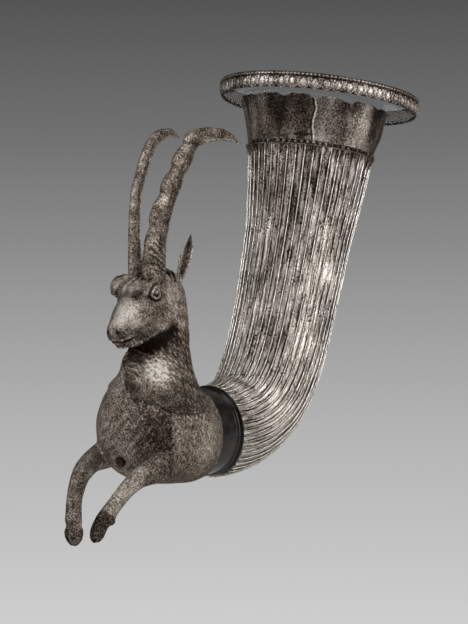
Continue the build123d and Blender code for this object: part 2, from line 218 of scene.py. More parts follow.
def makeSilver(name, look):
    # Raised silver, long buried: one tone value sets all. Low tone is brown-black tarnish, rough and dull,
    # as it lies in hollows and pits; high tone is rubbed metal, bright and smoother, on what stands proud.
    # The attribute read below carries the relief's own tone, so hollows stay dark from any side; on the horn and
    # the animal it also carries painted shade and painted highlights.
    material, tree, shader, place = newMaterial(name)
    wearAndPaintedLight = addNode(tree, "ShaderNodeAttribute", {"attribute_name": "wearAndPaintedLight"}).outputs["Fac"]
    # patterns: size in mm, detail, roughness, the coordinates that it reads, its weight in the tone
    patterns = [(look["patchMm"], 2.5, 0.55, place, look["patchWeight"]),
                (look["grainMm"], 3.0, 0.65, place, look["grainWeight"])]
    if look["streakWeight"]:
        flow = addNode(tree, "ShaderNodeAttribute", {"attribute_name": "flow"}).outputs["Vector"]
        patterns.append((look["streakMm"], 4.0, 0.7, flow, look["streakWeight"]))
    layers = [(wearAndPaintedLight, look["wearAndPaintedLightWeight"], look["wearAndPaintedLightMiddle"])]
    for size, detail, roughness, vector, weight in patterns:
        noise = addNode(tree, "ShaderNodeTexNoise",
                        {"Scale": 1 / (size * mm), "Detail": detail, "Roughness": roughness},
                        {"Vector": vector}).outputs["Fac"]
        layers.append((noise, weight, 0.5))
    # each layer is taken about its own middle and weighed into the tone
    tone = addNode(tree, "ShaderNodeValue").outputs[0]
    tone.default_value = look["tone"] - sum(weight * middle for _, weight, middle in layers)
    for socket, weight, _ in layers:
        tone = addNode(tree, "ShaderNodeMath", {"operation": "MULTIPLY_ADD", 1: weight},
                       {0: socket, 2: tone}).outputs[0]
    # pits: dark round spots where a cell's middle is near, only where a field five times as wide lets them be
    cells = addNode(tree, "ShaderNodeTexVoronoi", {"Scale": 1 / (look["pitMm"] * mm), "Randomness": 1.0},
                    {"Vector": place}).outputs["Distance"]
    pits = addNode(tree, "ShaderNodeMapRange", {"From Min": 0.12, "From Max": 0.34, "To Min": 1.0, "To Max": 0.0},
                   {"Value": cells}).outputs["Result"]
    field = addNode(tree, "ShaderNodeTexNoise",
                    {"Scale": 1 / (look["pitMm"] * 5 * mm), "Detail": 2.0, "Roughness": 0.5},
                    {"Vector": place}).outputs["Fac"]
    allowed = addNode(tree, "ShaderNodeMapRange",
                      {"From Min": 0.42, "From Max": 0.58, "To Min": 0.0, "To Max": -look["pitWeight"]},
                      {"Value": field}).outputs["Result"]
    tone = addNode(tree, "ShaderNodeMath", {"operation": "MULTIPLY_ADD"}, {0: pits, 1: allowed, 2: tone}).outputs[0]
    ramp = addNode(tree, "ShaderNodeValToRGB", None, {"Fac": tone})
    rampStops(ramp, look["colours"])
    tree.links.new(ramp.outputs["Color"], shader.inputs["Base Color"])
    for socket, low, high in (("Roughness", "dullRoughness", "brightRoughness"),
                              ("Metallic", "dullMetal", "brightMetal")):
        spread = addNode(tree, "ShaderNodeMapRange",
                         {"From Min": 0.15, "From Max": 0.8, "To Min": look[low], "To Max": look[high]},
                         {"Value": tone})
        tree.links.new(spread.outputs["Result"], shader.inputs[socket])
    relief = addNode(tree, "ShaderNodeBump", {"Strength": look["bumpStrength"], "Distance": look["bumpMm"] * mm},
                     {"Height": tone}).outputs["Normal"]
    tree.links.new(relief, shader.inputs["Normal"])
    # the film of tarnish dulls what is seen at a slant, so edges turn dark instead of flaring
    shader.inputs["Specular Tint"].default_value = hexColour(look["slantColour"])
    return material


hornLook = {
    "tone": 0.60, "patchMm": 24.0, "patchWeight": 0.85, "grainMm": 0.9, "grainWeight": 1.15,
    "wearAndPaintedLightWeight": 1.15, "wearAndPaintedLightMiddle": 0.42, "streakMm": 1.8, "streakWeight": 1.9, "pitMm": 2.1, "pitWeight": 0.75,
    "dullRoughness": 0.62, "brightRoughness": 0.24, "dullMetal": 0.7, "brightMetal": 1.0,
    "bumpStrength": 0.9, "bumpMm": 0.35, "slantColour": "#6b625a",
    "colours": [(0.02, "#17120f"), (0.25, "#463c35"), (0.48, "#8f857c"), (0.70, "#ccc4ba"), (0.95, "#f4efe8")],
}
neckLook = dict(hornLook, tone=0.45, patchMm=18.0, patchWeight=0.5, grainMm=1.0, grainWeight=1.2, wearAndPaintedLightWeight=0.9,
                streakWeight=0, pitMm=1.6, pitWeight=0.45, brightRoughness=0.28)
ringLook = dict(hornLook, tone=0.43, patchMm=26.0, patchWeight=0.8, grainMm=1.0, grainWeight=1.4, wearAndPaintedLightWeight=0.95,
                streakWeight=0, pitMm=1.5, pitWeight=0.30)
bodyLook = dict(hornLook, tone=0.43, patchMm=20.0, patchWeight=0.38, grainMm=1.0, grainWeight=1.7, wearAndPaintedLightWeight=0.85,
                streakWeight=0, pitMm=1.7, pitWeight=0.40, dullRoughness=0.64, brightRoughness=0.28, bumpStrength=1.0,
                bumpMm=0.6,
                colours=[(0.02, "#201914"), (0.25, "#4b4038"), (0.48, "#80746a"), (0.70, "#b5a99d"),
                         (0.95, "#e9e1d8")])
headLook = dict(bodyLook, tone=0.45, grainWeight=1.4, patchMm=7.0, patchWeight=0.45, wearAndPaintedLightWeight=1.15, bumpMm=0.7)
legLook = dict(bodyLook, tone=0.565, pitWeight=0.45, bumpStrength=0.8)
goatHornLook = dict(bodyLook, tone=0.46, patchMm=8.0, patchWeight=0.5, grainWeight=1.6, pitMm=1.9, pitWeight=0.5,
                    bumpStrength=0.75)

hornSilver = makeSilver("raised silver, fluted horn", hornLook)
neckSilver = makeSilver("raised silver, plain neck", neckLook)
ringSilver = makeSilver("cast silver, mouth ring", ringLook)
bodySilver = makeSilver("raised silver, animal body", bodyLook)
headSilver = makeSilver("raised silver, animal head", headLook)
legSilver = makeSilver("cast silver, forelegs", legLook)
goatHornSilver = makeSilver("cast silver, animal horns", goatHornLook)


def makeCollarResin():
    # Turned black resin, waxed: near-black and glossy, with a faint grey bloom that is a little rougher
    material, tree, shader, place = newMaterial("turned black resin, waxed")
    bloom = addNode(tree, "ShaderNodeTexNoise", {"Scale": 1 / (9 * mm), "Detail": 5.0},
                    {"Vector": place}).outputs["Fac"]
    ramp = addNode(tree, "ShaderNodeValToRGB", None, {"Fac": bloom})
    rampStops(ramp, [(0.35, "#060505"), (0.70, "#26221d")])
    tree.links.new(ramp.outputs["Color"], shader.inputs["Base Color"])
    rough = addNode(tree, "ShaderNodeMapRange", {"To Min": 0.16, "To Max": 0.34}, {"Value": bloom}).outputs["Result"]
    tree.links.new(rough, shader.inputs["Roughness"])
    shader.inputs["Metallic"].default_value = 0.0
    shader.inputs["IOR"].default_value = 1.5
    shader.inputs["Specular IOR Level"].default_value = 0.35
    return material


def makeClearAcrylic():
    # Formed acrylic sheet: clear, smooth, index 1.49, a trace of haze where it was handled
    material, tree, shader, place = newMaterial("clear acrylic, formed")
    haze = addNode(tree, "ShaderNodeTexNoise", {"Scale": 1 / (30 * mm), "Detail": 3.0},
                   {"Vector": place}).outputs["Fac"]
    rough = addNode(tree, "ShaderNodeMapRange", {"To Min": 0.02, "To Max": 0.07}, {"Value": haze}).outputs["Result"]
    tree.links.new(rough, shader.inputs["Roughness"])
    shader.inputs["Base Color"].default_value = hexColour("#fbfcfc")
    shader.inputs["Transmission Weight"].default_value = 1.0
    shader.inputs["Alpha"].default_value = 0.10
    shader.inputs["IOR"].default_value = 1.49
    return material


collarResin = makeCollarResin()
clearAcrylic = makeClearAcrylic()
print("materials made")

mouth = {
    "leanDegrees": 10.3, "ringHeight": 9.9, "eggCount": 56, "topBeadCount": 160,
    "faceRadius": 62.2, "largestRadius": 64.85, "boreRadius": 60.65,
    "faceAt": [(0, 0), (0.3, 1.1), (0.72, 1.3), (0.76, 0.7), (0.85, 1.9), (1.0, 1.2)],  # share of height, mm added
    "eggLift": 0.78, "eggFrameLift": 0.42, "dartLift": 0.3, "topBeadLift": 0.32, "scallopMm": 0.55, "sinkMm": 0.55,
    "columnsPerEgg": 14, "rows": 26,
}
lean = math.radians(mouth["leanDegrees"])
mouthAxis = np.array([0, math.sin(lean), math.cos(lean)])
mouthSide = np.array([1.0, 0, 0])
mouthBack = np.cross(mouthAxis, mouthSide)


def aroundMouth(centre, radius, level, angle):
    # points round the mouth's own axis; radius, level and angle are numbers or arrays over (rows, columns)
    radius, level, angle = np.broadcast_arrays(radius, level, angle)
    return (np.array(centre) + (radius * np.cos(angle))[..., None] * mouthSide
            + (radius * np.sin(angle))[..., None] * mouthBack + level[..., None] * mouthAxis)


flutedHorn = {
    "spine": [(-106.6, -202.9), (-44.2, -202.9), (-47.6, -162.3), (-21.12, -99.2), (-9.49, -35.2)],  # y, z in mm
    "bandRadius": 39.8, "wallMm": 2.0, "fluteCount": 44, "fluteDepth": 1.35, "fluteTurn": 0.09, "rows": 236,
    "acrossFlute": [0, 0.05, 0.12, 0.28, 0.5, 0.72, 0.88, 0.95],
    # share of the spine's length, share of the band's radius
    "radiusAt": [(0, 0.700), (0.08, 0.704), (0.16, 0.716), (0.25, 0.760), (0.36, 0.783), (0.54, 0.802),
                 (0.75, 0.848), (0.9, 0.940), (0.98, 0.990), (1.0, 1.0)],
    "archFromTop": 1.2, "innerBendSwell": 2.0, "streakRadius": 38, "streakStretch": 9,
    "sinkMm": 0.12,    # here and in other pieces: the skin lies this far in, so that relief stays in the outline
}


def spineFrames(count):
    # evenly spaced places and directions along the horn's Bezier spine in the middle plane
    control = np.array([(0, y, z) for y, z in flutedHorn["spine"]])
    t = np.linspace(0, 1, 2000)[:, None]
    curve = np.hstack([math.comb(4, k) * t ** k * (1 - t) ** (4 - k) for k in range(5)]) @ control
    run = pathRun(curve)
    share = np.linspace(0, 1, count)
    places = np.stack([np.interp(share * run[-1], run, curve[:, k]) for k in range(3)], -1)
    return share[:, None], places, pathForward(places), run[-1]


def makeFlutedHorn():
    # surface: each spine place plus a radius along the turned side and back directions; the radius swells by
    # the station table and sinks in each flute as a shallow channel between thin ridges, arched at its top
    share, places, forward, length = spineFrames(flutedHorn["rows"])
    count, band, wall = flutedHorn["fluteCount"], flutedHorn["bandRadius"], flutedHorn["wallMm"]
    across = np.array(flutedHorn["acrossFlute"])
    phase = (np.arange(count)[:, None] + across + flutedHorn["fluteTurn"]).ravel()
    angle = (phase / count * wholeTurn)[None, :]
    q = np.tile(across, count)[None, :] * 2 - 1    # -1 and 1 on the ridges, 0 in the middle of the channel
    radius = np.interp(share, *zip(*flutedHorn["radiusAt"])) * band
    directions = around(angle, mouthSide, np.cross(forward, mouthSide)[:, None, :])
    halfPitch = radius * math.pi / count
    fromTop = (1 - share) * length - flutedHorn["archFromTop"]
    arch = smoothStep(-0.1, 1.1, fromTop / halfPitch - (1 - np.sqrt(np.clip(1 - q ** 2, 0, 1))) * 1.15)
    raw = places[:, None, :] + directions * radius[..., None]
    worn = roughField(raw, 46, 11, 3)
    channel = np.clip(1 - np.abs(q) ** 2.6, 0, 1) ** 0.7
    depth = flutedHorn["fluteDepth"] * radius / band * (0.86 + 0.2 * worn)
    bend = smoothStep(0.46, 0.2, share) * smoothStep(0.0, 0.06, share)
    dents = roughField(raw, 15, 5, 2) * (0.05 + 0.16 * bend) + roughField(raw, 6, 6, 2) * 0.05
    ridgeNick = 0.18 * smoothStep(0.25, 0.7, roughField(raw, 4.5, 8, 2)) * (1 - channel)
    innerBend = flutedHorn["innerBendSwell"] * hill(share - 0.10, 0.045) * np.clip(-np.sin(angle), 0, 1) ** 2
    outward = radius - flutedHorn["sinkMm"] + innerBend - depth * channel * arch - np.abs(dents) - ridgeNick
    outer = places[:, None, :] + directions * outward[..., None]
    # tone: a thin bright ridge of rubbed metal, a painted shadow line at its foot, a middling channel; dull above
    # the arches; in the bend a painted highlight lifts the tone and the ridges' contrast
    ridgeWearAndShadow = 0.60 * hill(np.abs(q) - 1, 0.15) - 0.42 * hill(np.abs(q) - 0.70, 0.17)
    outerTone = np.clip(0.42 + ridgeWearAndShadow * (0.35 + 0.65 * arch) * (1 + 0.8 * bend) + 0.07 * bend - 0.12 * (1 - arch)
                        + 0.10 * worn - 0.14 * smoothStep(0.6, 1.0, share) + 0.6 * np.clip(dents, -0.3, 0.3), 0, 1)
    # the streaks read coordinates that change fast round the horn and slowly along it, so they run lengthwise
    flowRadius = flutedHorn["streakRadius"]
    flow = np.stack(np.broadcast_arrays(flowRadius * np.cos(angle), flowRadius * np.sin(angle),
                                        share * length / flutedHorn["streakStretch"]), -1) * mm
    inner = (places[::2, None, :] + directions[::2, ::4] * (radius[::2] - wall)[..., None])[:, ::-1]
    # the wall turns in at both ends: the outer end row is joined to a row at the bore's radius
    rims = []
    for row in (0, -1):
        edge = places[row] + directions[row] * (radius[row] - wall)[..., None]
        rims.append(np.stack([edge, outer[row]] if row == 0 else [outer[row], edge]))
    mesh = gridMesh("flutedHorn", [outer, inner, *rims], wearAndPaintedLight=[outerTone, 0.1, 0.4, 0.3],
                    flow=[flow, inner * mm, flow[:2], flow[-2:]])
    showPiece("flutedHornSkin", mesh, hornSilver, "fluted_horn")


makeFlutedHorn()
print("fluted horn made")

plainNeck = {
    "foot": (0, -9.49, -35.2), "rim": (0, -5.265, -4.68), "footRadius": 39.8, "rimRadius": 46.9, "wallMm": 1.4,
    "flareAt": [(0, 0), (0.12, 0), (0.3, 0.13), (0.55, 0.38), (0.8, 0.70), (1.0, 1.0)],
    # where on the turn, half width of the bite's circle and depth at its middle, both in shares of biteMm
    "bites": [(0.02, 0.9, 0.25), (0.10, 0.6, 0.35), (0.17, 1.3, 0.30), (0.27, 0.8, 0.20), (0.36, 1.1, 0.35),
              (0.45, 0.7, 0.30), (0.53, 1.4, 0.25), (0.63, 0.8, 0.35), (0.71, 1.0, 0.20), (0.79, 1.2, 0.40),
              (0.86, 0.7, 0.55), (0.93, 1.5, 0.45)],
    "biteMm": 6.0, "crackTurn": 0.856, "crackMm": 0.5, "bulgeMm": 1.7, "columns": 420, "rows": 46,
}


def makePlainNeck():
    # surface of turning: radius flares with height; the top level is lowered by round bites and a ragged field
    turn = np.linspace(0, 1, plainNeck["columns"], endpoint=False)
    lowered = np.zeros(len(turn))
    for place, wide, deep in plainNeck["bites"]:
        away = np.abs((turn - place + 0.5) % 1 - 0.5) * wholeTurn * plainNeck["rimRadius"]
        bite = np.sqrt(np.clip((wide * plainNeck["biteMm"]) ** 2 - away ** 2, 0, None))
        lowered = np.maximum(lowered, bite - (wide - deep) * plainNeck["biteMm"])
    rimPoints = np.stack([np.cos(turn * wholeTurn) * 47, np.sin(turn * wholeTurn) * 47, turn * 0], -1)
    lowered = 0.7 * lowered + 0.55 + 0.5 * roughField(rimPoints, 7, 21, 4)
    foot, upward = np.array(plainNeck["foot"]), np.array(plainNeck["rim"]) - np.array(plainNeck["foot"])
    share = np.linspace(0, 1, plainNeck["rows"])[:, None] * (1 - lowered / np.linalg.norm(upward))[None, :]
    angle = np.broadcast_to(turn * wholeTurn, share.shape)
    flare = np.interp(share, *zip(*plainNeck["flareAt"]))
    radius = plainNeck["footRadius"] + flare * (plainNeck["rimRadius"] - plainNeck["footRadius"])
    # the neck is pressed out of round: fuller on the side away from the animal
    radius = radius + plainNeck["bulgeMm"] * hill(share - 0.5, 0.28) * np.clip(np.cos(angle - 0.7), 0, 1) ** 2
    raw = aroundMouth(foot + share[..., None] * upward, radius, 0, angle)
    out = around(angle, mouthSide, mouthBack)
    outer = raw - (np.abs(roughField(raw, 17, 31, 2)) * 0.22 + 0.05)[..., None] * out
    inner = raw - plainNeck["wallMm"] * out
    lip = np.stack([outer[-1], 0.5 * (outer[-1] + inner[-1]) + 0.05 * mouthAxis, inner[-1]])
    # a mended crack runs up the near side and a split crosses its foot: both dark, with one bright edge
    stripes = roughField(np.stack([np.cos(angle) * 46, np.sin(angle) * 46, share * 8], -1), 22, 33, 3)
    acrossCrack = (angle - plainNeck["crackTurn"] * wholeTurn - 0.015 * np.sin(share * 11)) * radius
    crack = hill(acrossCrack, plainNeck["crackMm"]) * (share > 0.08)
    crackEdge = hill(acrossCrack - 0.9, plainNeck["crackMm"]) * (share > 0.08)
    split = hill((share - 0.22) * 30 - 0.06 * acrossCrack, 0.5) * (acrossCrack > -11) * (acrossCrack < 2)
    outer -= (0.25 * (crack + split))[..., None] * out
    wearAndPaintedLight = np.clip(0.38 + 0.50 * stripes - 0.18 * share + 0.75 * crackEdge - 0.7 * crack - 0.7 * split, 0, 1)
    mesh = gridMesh("plainNeck", [outer, inner[::-1], lip], wearAndPaintedLight=[wearAndPaintedLight, 0.15, 0.5])
    showPiece("plainNeckSkin", mesh, neckSilver, "cup_neck")


makePlainNeck()

beadRow = {
    "count": 66, "beadRadius": 1.28, "level": 1.75, "standRadius": 39.85, "wornShare": 0.12, "columns": 264,
    # the band under the beads: radius, level, wear
    "band": [(39.0, 0.0, 0), (39.95, 0.05, 0.2), (40.5, 0.3, 0.4), (40.2, 0.65, 0.2), (39.95, 1.0, 0), (39.9, 2.4, 0),
             (40.15, 2.8, 0.2), (40.25, 3.1, 0.35), (39.95, 3.35, 0.2), (39.0, 3.4, 0)],
}


def makeBeadRow():
    # a low band with a small ball on it at each pitch; a ball is a grid over latitude and longitude
    lat = np.linspace(-math.pi / 2, math.pi / 2, 8)[:, None]
    lon = roundAngles(12)[None, :]
    ball = np.stack(np.broadcast_arrays(np.cos(lat) * np.cos(lon), np.cos(lat) * np.sin(lon), np.sin(lat)), -1)
    rng = np.random.default_rng(4)
    grids, wears = [], []
    for turn in roundAngles(beadRow["count"])[:, None]:
        size = beadRow["beadRadius"] * rng.uniform(0.72, 1.0)
        if rng.random() < beadRow["wornShare"]:
            size *= 0.6
        level = beadRow["level"] + rng.uniform(-0.15, 0.15)
        centre = aroundMouth(plainNeck["foot"], beadRow["standRadius"], level, turn)
        out = around(turn, mouthSide, mouthBack)
        side = np.cross(mouthAxis, out)
        grids.append(centre + size * (ball[..., :1] * out + ball[..., 1:2] * side + ball[..., 2:] * mouthAxis))
        wears.append(np.clip(0.10 + 0.45 * ball[..., 0], 0, 1) * rng.uniform(0.3, 1.1))
    radius, level, wearAndPaintedLight = np.array(beadRow["band"]).T[..., None]
    grids.append(aroundMouth(plainNeck["foot"], radius, level, roundAngles(beadRow["columns"])[None, :]))
    mesh = gridMesh("beadRow", grids, wearAndPaintedLight=wears + [wearAndPaintedLight])
    showPiece("beadRowSkin", mesh, neckSilver, "bead_band")


makeBeadRow()


def makeMouthRing():
    # ring of turning whose outside carries eggs in U-shaped frames between darts, a row of small beads along
    # the top and a scalloped foot; every form is a lift of the radius over (share of height, angle)
    angle = roundAngles(mouth["eggCount"] * mouth["columnsPerEgg"])[None, :]
    low, high = -mouth["ringHeight"] / 2, mouth["ringHeight"] / 2
    share = np.linspace(0, 1, mouth["rows"])[:, None]
    level = low + share * (high - low)
    p = (angle / wholeTurn * mouth["eggCount"]) % 1 - 0.5    # place in an egg's own pitch, 0 in its middle
    face = mouth["faceRadius"] + np.interp(share, *zip(*mouth["faceAt"]))
    egg = np.sqrt(np.clip(1 - (p / 0.33) ** 2 - ((share - 0.36) / 0.30) ** 2, 0, 1))
    away = np.sqrt((p / 0.40) ** 2 + np.clip((share - 0.36) / 0.36, None, 0.6) ** 2)
    eggFrame = hill(away - 1.05, 0.13) * (share < 0.72)
    dart = hill(np.abs(p) - 0.5, 0.05) * smoothStep(0.0, 0.25, share) * (share < 0.7)
    topPhase = (angle / wholeTurn * mouth["topBeadCount"]) % 1 - 0.5
    topBead = np.sqrt(np.clip(1 - (topPhase / 0.45) ** 2 - ((share - 0.86) / 0.10) ** 2, 0, 1))
    worn = roughField(aroundMouth((0, 0, 0), face, level, angle), 14, 41, 3)
    forms = mouth["eggLift"] * egg + mouth["eggFrameLift"] * eggFrame + mouth["dartLift"] * dart
    lift = forms * (0.82 + 0.25 * worn) + mouth["topBeadLift"] * topBead
    radius = np.minimum(face - mouth["sinkMm"] + lift, mouth["largestRadius"])
    raised = mouth["scallopMm"] * smoothStep(0.22, 0.0, share)    # the foot, raised except in each scallop
    outer = aroundMouth((0, 0, 0), radius, level + raised - raised * np.cos(p * wholeTurn) ** 2, angle)
    outerTone = np.clip(0.12 + 0.62 * egg + 0.5 * eggFrame + 0.35 * dart + 0.45 * topBead + 0.16 * worn, 0, 1)
    # the bore is a plain cylinder, eased a little at its top edge
    boreRadius = mouth["boreRadius"] + np.array([0.3, 0, 0, 0])[:, None]
    boreLevel = np.array([high - 0.25, high - 1.2, low + 1.2, low + 0.35])[:, None]
    inner = aroundMouth((0, 0, 0), boreRadius, boreLevel, angle)
    top = np.stack([outer[-1], 0.5 * (outer[-1] + inner[0]), inner[0]])
    foot = np.stack([inner[-1], 0.5 * (outer[0] + inner[-1]), outer[0]])
    mesh = gridMesh("mouthRing", [outer, top, inner, foot], wearAndPaintedLight=[outerTone, 0.55, 0.05, 0.2])
    showPiece("mouthRingSkin", mesh, ringSilver, "mouth_ring")


makeMouthRing()

neckFormer = {
    "columns": 160,
    "outside": [(0.14, 38.45), (0.55, 41.1), (0.80, 43.4), (0.98, 45.4)],    # share of the neck's height, radius
    "inside": [(0.98, 43.6), (0.80, 41.5), (0.55, 39.2), (0.14, 36.5)],
    "flange": [(47.2, -4.75), (50.0, -4.6), (60.4, -4.6), (60.55, -4.2), (60.4, -3.3), (50.0, -3.0), (46.2, -3.2)],
}


def makeNeckFormer():
    # clear sleeve inside the neck, turned out at the rim into a thin flange under the mouth ring
    angle = roundAngles(neckFormer["columns"])
    foot, rim = np.array(plainNeck["foot"]), np.array(plainNeck["rim"])
    outside, inside = ([aroundMouth(foot + share * (rim - foot), radius, 0, angle)
                        for share, radius in neckFormer[key]] for key in ("outside", "inside"))
    flange = [aroundMouth((0, 0, 0), radius, level, angle) for radius, level in neckFormer["flange"]]
    mesh = gridMesh("neckFormer", [np.array(outside + flange + inside + outside[:1])])
    showPiece("neckFormerSheet", mesh, clearAcrylic, "neck_former")


makeNeckFormer()
print("mouth pieces made")

jointCollar = {
    "start": -106.6, "length": 22.4, "axisLevel": -201.9, "columns": 128,
    # what stands out past bandFrom is drawn wider than the solid, as the photograph's outline shows it
    "bandFrom": 24.2, "bandWiden": 1.045,
    "profile": [(-0.17, 20.2), (-0.17, 23.0), (0.0, 23.05), (0.0, 25.6), (0.012, 26.0), (0.04, 26.1), (0.055, 25.4),
                (0.062, 24.4), (0.11, 24.3), (0.125, 25.2), (0.14, 25.8), (0.18, 25.85), (0.21, 25.5), (0.225, 24.9),
                (0.26, 24.95), (0.5, 25.1), (0.8, 25.0), (0.985, 24.8), (1.0, 24.5), (1.0, 24.05), (1.17, 24.0),
                (1.17, 20.2)],    # share of the length, radius
}


def makeJointCollar():
    # surface of turning about the level axis between horn and animal
    angle = roundAngles(jointCollar["columns"])
    rows = []
    for share, radius in jointCollar["profile"] + jointCollar["profile"][:1]:
        wide = radius * (jointCollar["bandWiden"] if radius > jointCollar["bandFrom"] else 1)
        y = jointCollar["start"] - share * jointCollar["length"]
        z = jointCollar["axisLevel"] + wide * np.sin(angle)
        rows.append(np.stack(np.broadcast_arrays(wide * np.cos(angle), y, z), -1))
    mesh = gridMesh("jointCollar", [np.array(rows)])
    showPiece("jointCollarTurned", mesh, collarResin, "joint_collar")


makeJointCollar()
print("collar made")

# Animal places are (side, forward, rise): forward of the rear rim of the body, rise above the animal's axis.
animalRear, animalAxis = -129.0, -201.0


def animalPlace(side, forward, rise):
    return np.stack(np.broadcast_arrays(side, animalRear - forward, animalAxis + rise), -1)


def animalColumns(places):
    # side, forward and rise of vertex places
    return places[:, 0], animalRear - places[:, 1], places[:, 2] - animalAxis


def ovalStack(table, count, cols, fullness=2.0):
    # ovals carried along a path; a row is side, forward, rise, half width, half depth, pitch in degrees;
    # the pitch turns the oval's own axis from straight up (0) to level forward (90); fullness squares the oval
    rows = smoothRows(table, count)
    angle = roundAngles(cols)[None, :]
    pitch = np.radians(rows[:, 5])[:, None]
    c, s = np.cos(angle), np.sin(angle)
    wide = np.sign(c) * np.abs(c) ** (2 / fullness) * rows[:, 3:4]
    deep = np.sign(s) * np.abs(s) ** (2 / fullness) * rows[:, 4:5]
    return animalPlace(rows[:, 0:1] + wide, rows[:, 1:2] + deep * np.cos(pitch), rows[:, 2:3] - deep * np.sin(pitch))


def pairedStacks(table, count, cols):
    # the same stack on the right and on the left side of the animal; the table gives the left one
    return [ovalStack([(hand * row[0], *row[1:]) for row in table], count, cols) for hand in (-1, 1)]
